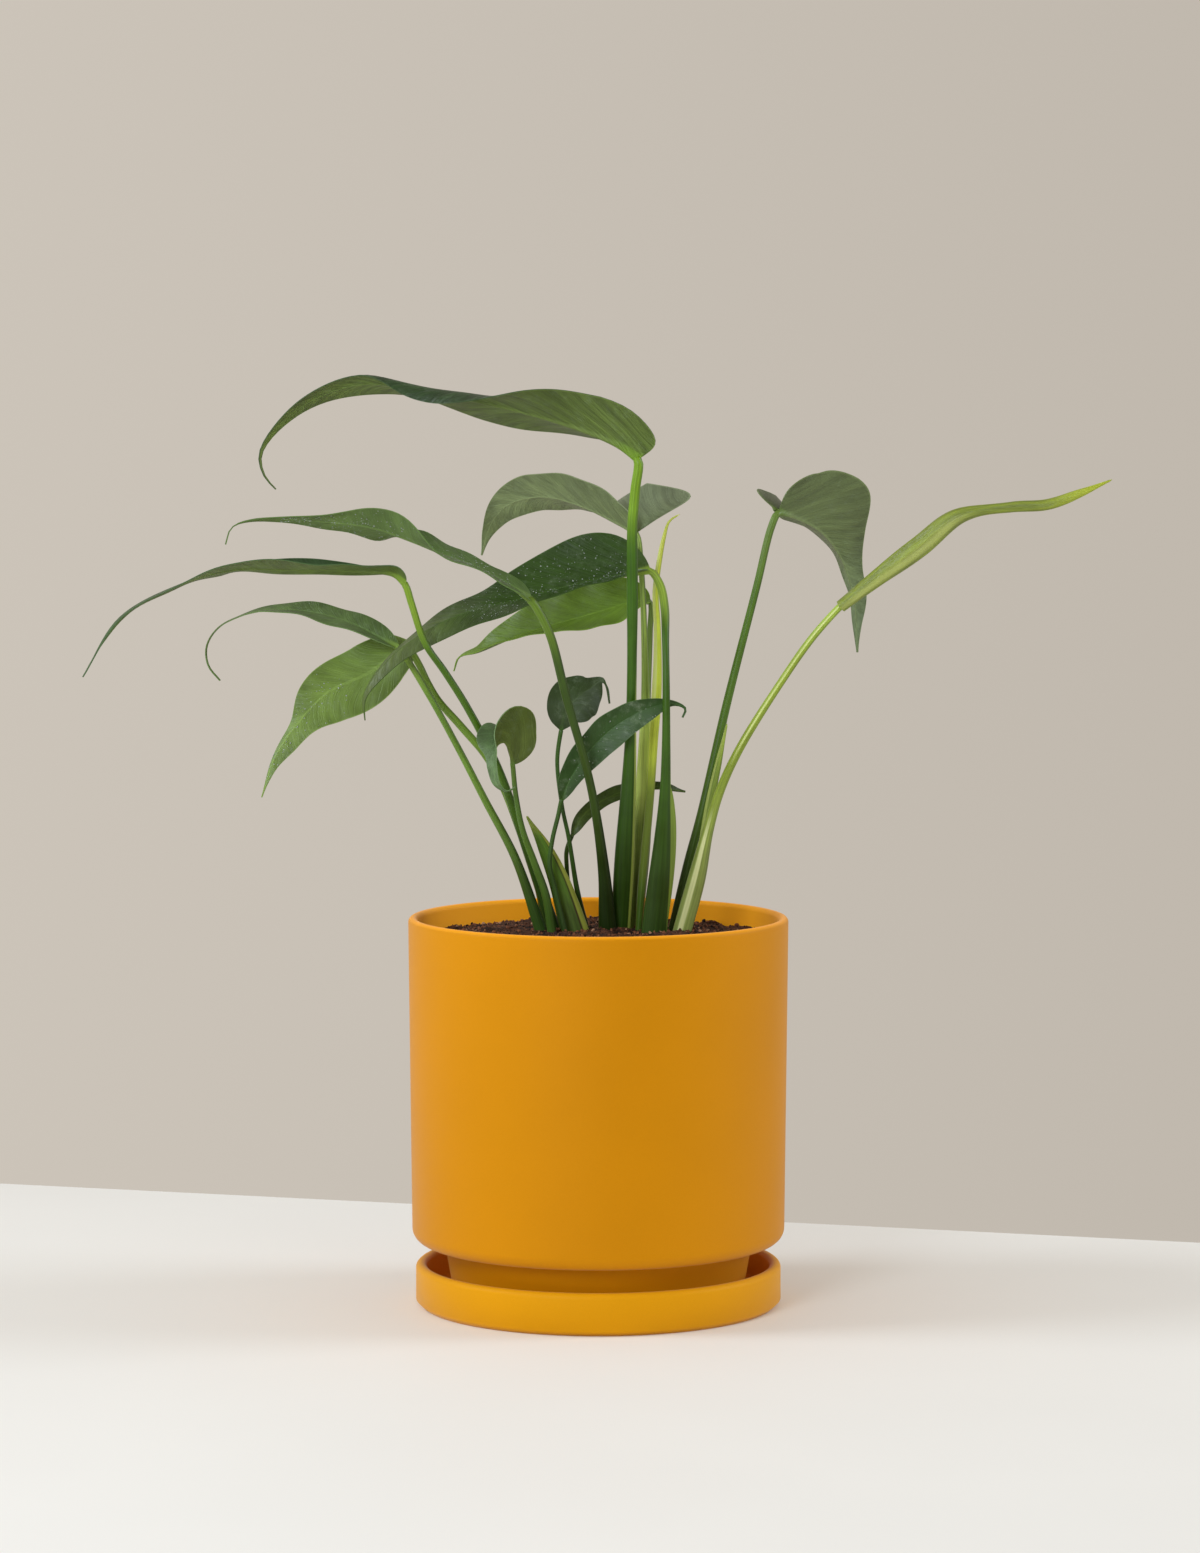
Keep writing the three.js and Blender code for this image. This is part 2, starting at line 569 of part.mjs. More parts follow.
function soilGeometry(stems) {
  const rings = 7;
  const floor = POT_UNDERSIDE + POT_FLOOR + GAP;
  const corner = floor + POT_CORNER;
  const top = potInside(SOIL_LEVEL) - GAP;
  const bottom = potInside(corner) - GAP;
  const profile = [[0, floor], [bottom - POT_CORNER, floor], [bottom, corner]];
  for (let i = rings; i >= 0; i--) profile.push([(top * i) / rings, SOIL_LEVEL]);
  const body = turned(profile);
  const place = body.getAttribute("position");
  for (let i = 0; i < place.count; i++) {
    if (place.getZ(i) < SOIL_LEVEL - 1) continue;
    place.setZ(i, soilHeight(place.getX(i), place.getY(i)));
  }
  return toGeometry(stems.reduce((soil, stem) => soil.subtract(toSolid(stem)), toSolid(body)));
}

function meshOf(name, geometry, finish) {
  const mesh = new THREE.Mesh(geometry, new THREE.MeshStandardMaterial(finish));
  mesh.name = name;
  return mesh;
}

const plant = new THREE.Group();
plant.name = "plant";
const stems = [];
for (const [name, leaf] of Object.entries(LEAVES)) {
  const young = !leaf.rib;
  const slim = !young && Math.max(...leaf.girth) < SLIM_STEM;
  const shape = { sides: slim ? 6 : 8, steps: slim ? 9 : 13, buried: ROOT_DEPTH };
  const stalk = stalkGeometry(stalkLine(leaf, ROOT_DEPTH), leaf.girth, leaf.flat, shape);
  const ending = leaf.rib || leaf.roll ? "_petiole" : "_spear";
  plant.add(meshOf(name + ending, stalk, young ? NEW_GREEN : STALK_GREEN));
  stems.push(holeGeometry(leaf, shape));
  if (leaf.rib) plant.add(meshOf(name + "_blade", bladeGeometry(leaf), LEAF_GREEN));
  if (leaf.roll) {
    const roll = stalkGeometry(leaf.roll, leaf.rollGirth, [1], { steps: 16 });
    plant.add(meshOf(name + "_rolled_blade", roll, NEW_GREEN));
  }
}

for (const [name, sheath] of Object.entries(SHEATHS)) {
  const shape = { sides: 8, steps: 10, buried: ROOT_DEPTH };
  const blade = stalkGeometry(stalkLine(sheath, ROOT_DEPTH), sheath.girth, sheath.flat, shape);
  plant.add(meshOf(name, blade, STALK_GREEN));
  stems.push(holeGeometry(sheath, shape));
}

const part = new THREE.Group();
part.name = "potted_monstera";
part.add(meshOf("saucer", saucerGeometry(), POT_GLAZE));
part.add(meshOf("pot", potGeometry(), POT_GLAZE));
part.add(meshOf("soil", soilGeometry(stems), SOIL_BROWN));
part.add(plant);

export default part;
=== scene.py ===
"""A potted flame monstera: satin glazed cylinder pot and saucer, soil, and a clump of narrow leaves.

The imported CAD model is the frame. The plant's middle lines repeat the CAD source's, in millimetres, and
each node is replaced by a finer piece of the same form. -Y is towards the viewer and +Z is up.
"""
import itertools
import math

import bpy
import numpy as np
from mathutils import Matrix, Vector, noise


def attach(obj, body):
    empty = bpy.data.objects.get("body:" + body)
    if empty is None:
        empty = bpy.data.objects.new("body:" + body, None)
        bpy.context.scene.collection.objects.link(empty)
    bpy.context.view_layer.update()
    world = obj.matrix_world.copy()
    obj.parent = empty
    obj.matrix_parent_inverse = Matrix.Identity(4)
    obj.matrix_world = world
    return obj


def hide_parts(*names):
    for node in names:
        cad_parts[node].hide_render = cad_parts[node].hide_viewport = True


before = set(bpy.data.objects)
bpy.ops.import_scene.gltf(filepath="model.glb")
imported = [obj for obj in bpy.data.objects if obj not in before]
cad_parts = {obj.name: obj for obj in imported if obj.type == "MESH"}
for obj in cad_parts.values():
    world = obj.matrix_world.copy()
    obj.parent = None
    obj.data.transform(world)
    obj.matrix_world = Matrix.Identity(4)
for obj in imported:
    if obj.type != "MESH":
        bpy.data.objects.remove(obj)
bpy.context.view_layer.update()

MM = 0.001
UP = (0, 0, 1)
TO_VIEWER = (0, -1, 0)

# The camera stands where the photograph was taken from
CAMERA_PLACE = (0.9, -2500, 478)
CAMERA_TILT = 4.45
PHOTO_HEIGHT = 1553
FOCAL_PIXELS = 4700
SENSOR = 36

# Round lights, in metres and watts: the place, the diameter and the power of each
LIGHTS = {
    "key": ((-2.1, -0.3, 1.6), 1.0, 27),
    "fill": ((2.1, 0.1, 1.1), 1.0, 21),
    "front": ((-1.0, -2.2, 1.1), 0.9, 23),
}
LIGHT_AIM = (0, 0, 0.25)
COOL_LIGHT = (0.84, 0.92, 1)

# The floor's corners, and the greys around it, which blend over this reach on either side of the middle
FLOOR_CORNERS = [(-3000, -3200, 0), (3000, -3200, 0), (3000, -590, 0), (-3000, 1150, 0)]
FLOOR = (236, 235, 232)
LEFT_GREY = (205, 197, 186)
RIGHT_GREY = (191, 183, 172)
GREY_REACH = 0.16

# The pot, the saucer and the soil, as in the CAD source
POT_RADIUS = 101.6
POT_BASE_RADIUS = 99.9
POT_TOP = 208.5
POT_UNDERSIDE = 34
POT_CORNER = 7.5
WALL = 5.1
POT_FLOOR = 6
FOOT_RADIUS = 82.5
FOOT_TAPER = 4.5
FOOT_WALL = 7
FOOT_EDGE = 1.5
DRAIN_RADIUS = 6.5
SAUCER_RADIUS = 98
SAUCER_HEIGHT = 22.5
SAUCER_FLOOR = 6
SAUCER_WALL = 6.2
SAUCER_BEVEL = 3
SAUCER_COVE = 3
SOIL_LEVEL = 196
SOIL_DOME = 3.5
SOIL_BUMP = 1.1
GAP = 0.3
ROOT_DEPTH = 12

# Bumps of the soil too fine for the CAD source, the crumbs on it, and the drops on the blades. A crumb's
# middle lies above the soil by a share of its size, and a drop's lies above the blade by millimetres
SOIL_FINE_BUMP = 0.6
CRUMB_COUNT = 7000
CRUMB_SIZE = (0.3, 1.3)
CRUMB_STRETCH = (0.45, 1.25)
CRUMB_MARGIN = 3
CRUMB_LIFT = 0.25
DROP_SIZE = (0.16, 0.5)
DROP_FLATNESS = 0.5
DROP_LIFT = 0.05

# Least radius of a turned piece, so that none of its faces shrinks to a line
AXIS = 0.01

# Screen colours of the glaze. Inside the pot it is painted lighter as painted light, and over this height of
# its lip as a painted highlight
POT_GLAZE = (204, 134, 1)
SAUCER_GLAZE = (219, 152, 5)
INSIDE_GLAZE_PAINTED_LIGHT = (255, 170, 28)
LIP_PAINTED_HIGHLIGHT = 1.6

# Screen colours of the soil, of the crumbs on it and of the drops
SOIL_DARK = (30, 17, 12)
SOIL_LIGHT = (92, 58, 42)
BARK_DARK = (28, 14, 10)
BARK_LIGHT = (122, 76, 52)
GRIT = (172, 132, 104)
WATER_DARK = (190, 204, 190)
WATER_LIGHT = (226, 232, 226)

# Fineness of the pieces
ROUND_STEPS = 192
SOIL_RINGS = 46
BLADE_ROWS = 72
BLADE_COLUMNS = 14
STALK_SIDES = 28
STALK_STEPS = 90
LINE_STEPS = 60
SPINE_STATIONS = 240

# Rows lie closer together towards a blade's base, and columns towards its midrib
ROW_BUNCHING = 1.35
COLUMN_BUNCHING = 1.5

# A blade opens from its neck over this share of its length. Neck and tip are finer than in the CAD source
BASE_SHARE = 0.11
BASE_ROUNDNESS = 0.75
NECK_WIDTH = 0.5
TIP_WIDTH = 0.5

# Shape of the basal lobes: along the blade's base, and from the midrib to the margin
LOBE_SKEW = 0.9
LOBE_BEND = 1.5

# Thickness of a blade at its margin. Its midrib sinks into the upper side and swells out of the under side
# by these shares of its half width
SHEET = 0.5
UPPER_GROOVE = 0.12
UNDER_SWELL = 0.75

# The midrib soon loses this share of the petiole's half width and then tapers. Its colour has a soft edge
RIB_LOSS = 0.45
RIB_LOSS_REACH = 0.06
RIB_TAPER = 1.2
RIB_EDGE = 0.7
LEAST_RIB = 0.2

# Waves of a blade's margin: height, number, how they slant, and the half width from which they are full
RIPPLE = 0.5
RIPPLE_WAVES = 5.5
RIPPLE_SLANT = 0.01
RIPPLE_WIDTH = 12

# Veins and pleats: slant and bend towards the tip, the shift between the two halves, how dense they are, and
# how much painted shade and light a pleat puts into the blade's colour
VEIN_SLANT = 1.6
VEIN_BEND = 0.35
VEIN_SHIFT = 2.6
VEINS_PER_MM = 1.1
PLEATS_PER_MM = 0.16
PAINTED_PLEAT_SHADE = 0.2

# Roughness of each side of a blade, and how far its veins stand out of it
BLADE_SIDES = {"upper": (0.42, -0.5), "under": (0.5, 0.7)}

# Painted sheen on the blades: the pale colour of patches that stand in for light the blades reflect, and how
# strongly they show. Screen colours of the tip and the outer flap of the rolled blade
PAINTED_SHEEN_COLOR = (150, 168, 140)
PAINTED_SHEEN_STRENGTH = 0.15
ROLL_TIP = (178, 192, 40)
ROLL_FLAP = (196, 206, 120)

# Petioles and sheaths: how rough they are, how deep their grooves look, and how many of its half widths a
# petiole runs on into its blade
STEM_ROUGHNESS = 0.36
SHEATH_ROUGHNESS = 0.45
GROOVE_DEPTH = 0.2
JOINT_REACH = 1.5

# Shape of a petiole's wing: where it is widest, and how round and thin it is
WING_SKEW = 1.6
WING_ROUNDNESS = 0.6
WING_THINNESS = 8

# How far the skin of a rolled leaf overlaps itself, and where round the stem that seam lies
SPEAR_SEAM = 0.12
ROLL_SEAM = 0.16
SEAM_PLACE = 0.3

# Each leaf: where its petiole rises, how thick it is, the blade on top of it, and the looks of both.
#   stalk        points of the petiole's middle line, from the soil up
#   girth, flat  its half width along the way, and its depth as a share of that width, 1 if not given
#   rib          points of the blade's midrib, from the petiole to the tip
#   roll         points along a blade that is still rolled, with its half widths in rollGirth
#   face         the way the blade's upper side looks at its base, up if not given
#   lobe         how far the left and right basal lobes reach back past the petiole
#   left, right  half widths of the blade at nine even stations from base to tip
#   *Rise        degrees that each half is raised towards the upper side at those stations
#   *Curl        degrees that each half bends over its width, towards the upper side when positive
#   upper, under screen colours of the blade's two sides
#   tip          screen colour towards the blade's tip, if it has another one there
#   rollTone     screen colour of a rolled blade
#   tones        screen colours of the petiole low down, midway and at the top
#   pleats, bloom, grooves  how strong these show; pleats and sheen are painted light and shade
#   slant        how the blade's veins run
#   drops        how many lie along a stretch of the blade, on its upper side (1) or its under side (-1)
#   strips       bands of another colour, some the leaf's own and some painted highlights and painted light:
#                their place across the petiole from -1 to 1 as seen from the front, their ends up the
#                petiole from 0 to 1, their colour, and how soft their edges are
#   wing         a thin fin on the right of the petiole: its ends up the petiole, and its width
LEAVES = {}
LEAVES["leaf_01"] = dict(
    stalk=[[12, 14, 200], [14, 9, 238], [17, 1, 297], [18, -5, 356], [18, -9, 398], [18, -10, 417],
        [19.5, -10, 436]],
    girth=[5.2, 5.4, 4.2, 2.9, 2.6, 3, 2.7, 2.5], flat=[0.6, 0.6, 0.8, 1, 1, 1, 1, 1],
    rib=[[21, -10, 452], [11.5, -8, 459], [-1.5, -4, 465], [-32, 8, 475], [-80.5, 26, 486],
        [-128.5, 42, 492], [-161, 50, 480], [-178.5, 53.5, 464], [-183.5, 54, 453], [-181, 55, 442.5],
        [-175, 55, 435.5]],
    lobe=[13, 5],
    left=[27, 23, 22, 20.5, 17.5, 12.5, 6.8, 2.4, 0.5], leftRise=[74, 60, 34, 45, 45, 50, 30, 10, 0],
    leftCurl=[0, 0, 0, -100, -135, -60, -20, 0, 0],
    right=[9, 18, 20, 18.5, 15.5, 11, 6, 2.2, 0.5], rightRise=[20, -7, -22, -31, -15, -25, -27, -30, 0],
    upper=(40, 63, 28), under=(88, 106, 46), tones=[(38, 64, 10), (56, 92, 14), (114, 150, 34)],
    # The strip is a paler edge with a painted highlight on it
    pleats=1.5, slant=3.0, strips=[dict(across=(0.72, 1.1), up=(-0.1, 0.5), color=(150, 164, 74))],
)
LEAVES["leaf_02"] = dict(
    stalk=[[5, 8, 200], [3, 3, 232], [-4, -10, 279], [-17, -28, 328], [-25, -38, 360], [-31, -42, 373]],
    girth=[4.8, 3.2, 2.4, 2.2, 2.3, 2.3, 2.2], flat=[0.7, 0.8, 1, 1, 1, 1, 1],
    rib=[[-35, -44, 379], [-47, -49, 388], [-63, -56, 397], [-81.5, -64, 404.5], [-98, -71, 411.5],
        [-117, -78, 418], [-138.5, -85, 421], [-175, -97, 423], [-187, -101, 418.5], [-190, -102, 410]],
    lobe=[3, 3],
    left=[8, 13, 15, 14.5, 12.3, 8.5, 4.5, 2, 0.5], leftRise=[-10, -15, -10, -5, 62, 45, 18, 0, 0],
    right=[8, 13, 14.5, 14, 11.5, 8, 4.5, 2, 0.5], rightRise=[60, 27, 26, 33, -25, -28, -33, -40, 0],
    upper=(72, 98, 44), under=(86, 110, 54), tones=[(28, 46, 10), (56, 79, 22), (94, 121, 36)],
    pleats=0.7,
    drops=[dict(count=200, along=(0.08, 0.45), side=1), dict(count=260, along=(0.42, 0.8), side=-1)],
)
LEAVES["leaf_03"] = dict(
    stalk=[[-24, 20, 200], [-38, 12, 242], [-53, 0, 287], [-69, -10, 320], [-81, -17, 340],
        [-91.5, -22, 356], [-98, -28, 376]],
    girth=[3.6, 2.8, 2.3, 2.1, 2, 1.9, 1.8, 1.9], flat=[0.8, 1, 1, 1, 1, 1, 1, 1],
    rib=[[-101.5, -30, 387], [-107, -32, 392], [-118, -36, 394], [-137, -43, 395], [-164.5, -54, 395.5],
        [-187, -64, 396], [-215, -76, 389], [-246, -88, 372], [-264, -96, 342]],
    lobe=[3, 3],
    left=[8, 13, 15, 14.5, 12, 8.5, 5.5, 3, 0.5], leftRise=[40, 15, 12, 20, 22, 10, 0, 0, 0],
    right=[9, 15, 18, 17, 12, 8.5, 5.5, 3, 0.5], rightRise=[0, -50, -50, -45, -12, -16, -26, -40, 0],
    rightCurl=[0, 130, 150, 130, 0, 0, 0, 0, 0],
    upper=(54, 80, 42), under=(82, 102, 44), tones=[(50, 78, 26), (70, 104, 20), (126, 158, 46)],
)
LEAVES["leaf_04"] = dict(
    stalk=[[-31, 10, 200], [-44.5, 8, 239], [-60.5, 7, 270], [-74, 6, 296.5], [-90, 4, 326]],
    girth=[3.2, 2.4, 2, 1.8, 1.7, 1.7], flat=[0.7, 0.9, 1, 1, 1, 1],
    rib=[[-106, 2.5, 351.5], [-133.5, 14, 365], [-158, 26, 370.5], [-183.5, 38, 370], [-205.5, 50, 361.5],
        [-213.5, 57, 350], [-212.5, 58, 339.5], [-206, 56, 331.5]],
    lobe=[2, 2],
    left=[5, 8, 8.8, 7.5, 5.6, 3.2, 1.6, 0.8, 0.5], leftRise=[-10, -5, -23, -14, -10, -10, -30, -30, 0],
    right=[5, 8.6, 8.8, 7.5, 5.6, 3.2, 1.6, 0.8, 0.5], rightRise=[50, 47, 31, 45, 34, 23, 0, 0, 0],
    upper=(74, 97, 47), under=(84, 108, 50), tones=[(52, 80, 28), (96, 128, 44), (116, 144, 56)],
)
LEAVES["leaf_05"] = dict(
    stalk=[[-27, 29, 200], [-33, 26, 226], [-42, 22, 252], [-51, 18, 276], [-60.5, 16, 293.5],
        [-74, 17, 309.5], [-86, 19, 323], [-92, 21, 333], [-96, 21, 341.5]],
    girth=[3.4, 2.8, 2.4, 2.2, 2.1, 2, 2.1, 2, 1.9, 1.9], flat=[0.8, 1, 1, 1, 1, 1, 1, 1, 1, 1],
    rib=[[-101, 16, 349.5], [-106, 15.5, 349.5], [-123, 12, 338], [-144.5, 6, 328], [-160, -1, 312],
        [-172, -6, 294], [-179, -9, 273]],
    lobe=[5, 5],
    left=[11, 14, 18, 19, 16, 9.5, 7, 2.6, 0.5], leftRise=[-20, -62, -68, -70, -67, -62, -70, -65, 0],
    right=[12, 16, 17, 15.5, 12, 5, 2.5, 1.2, 0.5], rightRise=[40, 62, 64, 63, 66, 40, 30, 30, 0],
    upper=(104, 128, 56), under=(104, 124, 60), tones=[(52, 80, 26), (104, 134, 44), (120, 150, 56)],
    pleats=0.7, drops=[dict(count=150, along=(0.35, 0.95), side=1)],
)
LEAVES["leaf_06"] = dict(
    stalk=[[30, 4, 200], [34, 0, 243.5], [35.6, -8, 276.5], [36, -13, 303], [36, -13, 330],
        [35.7, -7, 356], [35.3, 4, 374], [32.7, 12.5, 386]],
    girth=[6.9, 6.1, 4.6, 3, 2.3, 2, 1.9, 2.3, 2], flat=[0.5, 0.6, 0.8, 1, 1, 1, 1, 1, 1],
    rib=[[28, 14, 392.5], [0, 12, 388], [-21.5, 8, 383], [-45, 3, 377], [-69, -3, 371.5], [-93, -9, 360.5],
        [-113.5, -13, 344], [-124, -16, 326.5], [-123.5, -17, 314.5]],
    lobe=[3, 4],
    left=[8, 18, 20, 19, 15, 11, 7.5, 5, 0.5], leftRise=[20, -2, -3, -10, -26, -44, -53, -35, 0],
    right=[16, 26, 25, 20, 15, 11, 7.5, 4, 0.5], rightRise=[70, 70, 61, 47, 27, 21, 3, 4, 0],
    upper=(40, 66, 10), under=(84, 102, 52), tip=(84, 98, 50),
    tones=[(46, 70, 22), (56, 90, 16), (140, 168, 62)],
    pleats=0.8, slant=2.0, drops=[dict(count=420, along=(0.06, 0.55), side=1)],
    strips=[dict(across=(0.9, 1.6), up=(0.02, 0.4), color=(126, 150, 56))],
    wing=dict(up=(0.04, 0.385), width=2.6),
)
LEAVES["leaf_07"] = dict(
    stalk=[[22, 36, 200], [25, 38, 267], [27, 38, 327], [27.9, 37, 359]],
    girth=[2.6, 2.2, 1.6, 1.5, 1.6], flat=[0.8, 1, 1, 1, 1],
    rib=[[28, 36, 375], [20, 37, 375], [-4, 43, 368], [-24.5, 49, 362], [-43.5, 55, 356],
        [-65.5, 61, 346.5], [-76, 65, 343.5], [-79, 66, 336]],
    lobe=[3, 3],
    left=[9, 14, 15, 13, 10, 7, 4, 2, 0.5], leftRise=[0, -35, -29, -24, -14, -11, 8, 10, 0],
    right=[9, 16.5, 18, 17.5, 16.5, 13, 9, 5.5, 0.5], rightRise=[60, 69, 68, 70, 69, 69, 60, 30, 0],
    upper=(100, 130, 34), under=(94, 124, 38), tones=[(90, 110, 52), (100, 122, 56), (106, 130, 60)],
    pleats=0.6, slant=2.4,
)
LEAVES["leaf_08"] = dict(
    stalk=[[20, 24, 200], [23.5, 24, 252], [25.3, 24, 302], [24.8, 24, 354.5], [23.2, 25, 391]],
    girth=[3.8, 5, 4.2, 2.2, 1.6, 1.6], flat=[0.6, 0.6, 0.7, 1, 1, 1],
    rib=[[20.5, 26.5, 412], [-6, 36, 425.5], [-30, 50, 431.5], [-50.5, 66, 426], [-60.5, 76, 412.5],
        [-64, 79, 399]],
    lobe=[4, 20],
    left=[14, 17, 18, 17, 14.5, 12, 8, 3.5, 0.5], leftRise=[40, 50, 56, 57, 55, 62, 55, 25, 0],
    right=[54, 29, 21, 17, 13, 10, 8, 4.5, 0.5], rightRise=[72, 44, 0, -15, -28, -43, -50, -25, 0],
    # The upper colour is lightened by painted sheen, where the right lobe shows it
    upper=(112, 124, 94), under=(114, 128, 84), tones=[(88, 102, 38), (128, 150, 66), (128, 152, 74)],
    # The strip is a painted pool of light on a stretch that other petioles shade
    slant=2.2, grooves=0.5, strips=[dict(across=(-1.1, 1.1), up=(0.3, 0.54), color=(206, 226, 116))],
)
LEAVES["leaf_09"] = dict(
    stalk=[[21.5, 15, 200], [24, 17, 231], [27.5, 17, 269], [29.5, 16.5, 301], [31, 17, 323.5],
        [31.7, 18, 343], [31.5, 19, 363], [30.7, 20, 382], [32.7, 20, 398], [35.3, 20, 411], [38, 20, 419],
        [44, 20, 423]],
    girth=[1.8, 2.4, 2.5, 2.4, 2.5, 2.65, 2.9, 2.4, 2, 1.7, 1.3, 0.4],
    tones=[(70, 100, 30), (190, 204, 66), (186, 196, 80)],
    strips=[dict(across=(-1.1, 1.1), up=(0.12, 0.36), color=(112, 130, 50)),
        # The second strip is a painted highlight down the lit left side
        dict(across=(-1.0, -0.1), up=(0.52, 0.9), color=(222, 232, 140))],
)
LEAVES["leaf_10"] = dict(
    stalk=[[41, 20, 200], [48.4, 19, 234], [55.4, 18, 261], [69, 20, 321], [85, 22, 384],
        [92.7, 24, 415.5]],
    girth=[3.2, 2.8, 2.5, 2.3, 2.1, 2, 2], flat=[0.8, 1, 1, 1, 1, 1, 1],
    rib=[[96.5, 25.5, 423.5], [106.5, 36, 420.5], [122.5, 56, 411], [134, 72, 395], [140.5, 80, 374],
        [142.5, 83, 345.5]],
    lobe=[19, 6],
    left=[12, 20, 24, 20, 13, 9, 6, 3, 0.5], leftRise=[72, 34, 12, 18, 30, 30, 30, 15, 0],
    right=[18, 28, 34, 34, 19.5, 9.5, 7.2, 3, 0.5], rightRise=[60, 66, 65, 60, 62, 60, 45, 20, 0],
    upper=(80, 95, 54), under=(92, 106, 64), tip=(104, 120, 84),
    tones=[(60, 80, 27), (74, 105, 30), (98, 124, 54)],
)
LEAVES["leaf_11"] = dict(
    stalk=[[45, 8, 200], [52.5, 6, 227.5], [58.8, 3, 255], [65, 0, 276], [75.7, -4, 299.5],
        [99, -10, 337.5], [113.5, -14, 358.5]],
    girth=[5, 4.8, 3, 2.4, 2.2, 2, 2, 1.9], flat=[0.6, 0.6, 1, 1, 1, 1, 1, 1],
    roll=[[128, -17, 375], [146.5, -22, 390], [168.5, -29, 407], [188.5, -36, 423], [215.5, -44, 428],
        [234, -50, 429.5], [250.5, -55, 435.5], [266.5, -60, 442.5]],
    rollGirth=[3.6, 4.8, 6.2, 5.7, 3.1, 3.2, 2.8, 0.5],
    tones=[(140, 156, 84), (134, 154, 50), (146, 170, 62)], rollTone=(119, 134, 30),
    # Both strips are painted highlights
    strips=[dict(across=(-0.55, 0.0), up=(-0.1, 0.3), color=(224, 232, 168)),
        dict(across=(-0.5, -0.05), up=(0.5, 1.1), color=(206, 218, 140))],
)
LEAVES["leaf_12"] = dict(
    stalk=[[-18, 7, 200], [-23.5, 7, 223.5], [-26, 6, 235], [-24.6, 5, 249], [-21.5, 4, 262]],
    girth=[1.7, 1.4, 1.3, 1.2, 1.2, 1.2],
    rib=[[-19.8, 2, 270], [-15, -2, 282.5], [-2.7, -6, 300], [10.5, -8, 312], [26.5, -8, 320.5],
        [40, -7, 323], [46.3, -7, 320], [44.7, -8, 315.5]],
    face=[0, -1, 0], lobe=[1, 1],
    left=[3, 6, 8.5, 9, 9.8, 8.5, 5.5, 1.5, 0.5], leftRise=[20],
    right=[3, 5.2, 7.6, 9.5, 10, 8.7, 6.2, 1.5, 0.5], rightRise=[20],
    upper=(54, 84, 38), under=(66, 90, 36), tones=[(50, 76, 30), (58, 88, 34), (64, 94, 40)],
    pleats=0.3, bloom=0.4, drops=[dict(count=40, along=(0.1, 0.8), side=1)],
)
LEAVES["leaf_13"] = dict(
    stalk=[[-14, 30, 200], [-17, 24, 232], [-17, 19.5, 242]],
    girth=[1.5, 1.2, 1.2, 1.2],
    rib=[[-14.5, 16.5, 249.5], [-9, 20, 260], [2.7, 27, 268.5], [19, 31, 274.5], [32.5, 31, 275.5],
        [43, 30, 273.5], [47, 29, 273]],
    face=[0, -1, 0], lobe=[1, 1],
    left=[1.6, 3, 3.6, 4.2, 4.5, 3.2, 2.8, 2.6, 0.5], leftRise=[10],
    right=[1.6, 3.8, 4.2, 3.8, 3.8, 3.6, 2, 1.2, 0.5], rightRise=[10],
    upper=(56, 74, 16), under=(70, 80, 30), tones=[(50, 70, 28), (58, 80, 30), (64, 84, 32)],
)
LEAVES["leaf_14"] = dict(
    stalk=[[-6.5, 24, 200], [-11.3, 20, 220], [-16, 13, 250], [-19.3, 10, 266], [-22, 9, 291]],
    girth=[1.6, 1.4, 1.2, 1.1, 1.1, 1.2],
    rib=[[-20, 8, 307], [-18, 6, 316.5], [-11.5, 5, 325], [-4, 4.5, 330.5], [2, 4, 334.5], [4.5, 1.5, 331],
        [6, -1, 322.5]],
    face=[0, -1, 0], lobe=[0.5, 0.5],
    left=[1.5, 7.5, 12.5, 15, 13, 6.5, 1, 0.8, 0.5], leftRise=[10, 0, -10, -35, -45, -45, -20, 0, 0],
    right=[1.5, 7, 12, 13.5, 13, 7, 1, 0.8, 0.5], rightRise=[15, 20, 22, 22, 22, 15, 0, 0, 0],
    upper=(50, 68, 32), under=(68, 88, 40), tones=[(44, 68, 24), (58, 90, 34), (66, 98, 40)],
    pleats=0.35, bloom=0.35,
)
LEAVES["leaf_15"] = dict(
    stalk=[[-25, 4, 200], [-28, 3, 219], [-34.5, 1, 238], [-40.5, -3, 255.5], [-44, -6, 274.5]],
    girth=[2.4, 2.2, 1.9, 1.6, 1.4, 1.3],
    rib=[[-45.5, -10, 290.5], [-47, -13, 298], [-50, -17.5, 303], [-53.5, -22, 301.5], [-55, -25.5, 294.5],
        [-55, -27, 287], [-53, -27, 281], [-48.5, -25, 277.5], [-44, -23, 279.5]],
    face=[0.6, 0.8, 0], lobe=[2, 2],
    left=[6, 16.5, 22.5, 13, 5, 3.5, 2.5, 0.8, 0.5], leftRise=[54, 68, 76, 74, 50, 30, 20, 0, 0],
    right=[5, 10, 15, 13, 5.5, 3.5, 2.5, 0.8, 0.5], rightRise=[40, 44, 42, 30, 20, 10, 0, 0, 0],
    upper=(92, 118, 74), under=(86, 102, 38), tones=[(60, 90, 30), (80, 112, 40), (90, 120, 46)],
)

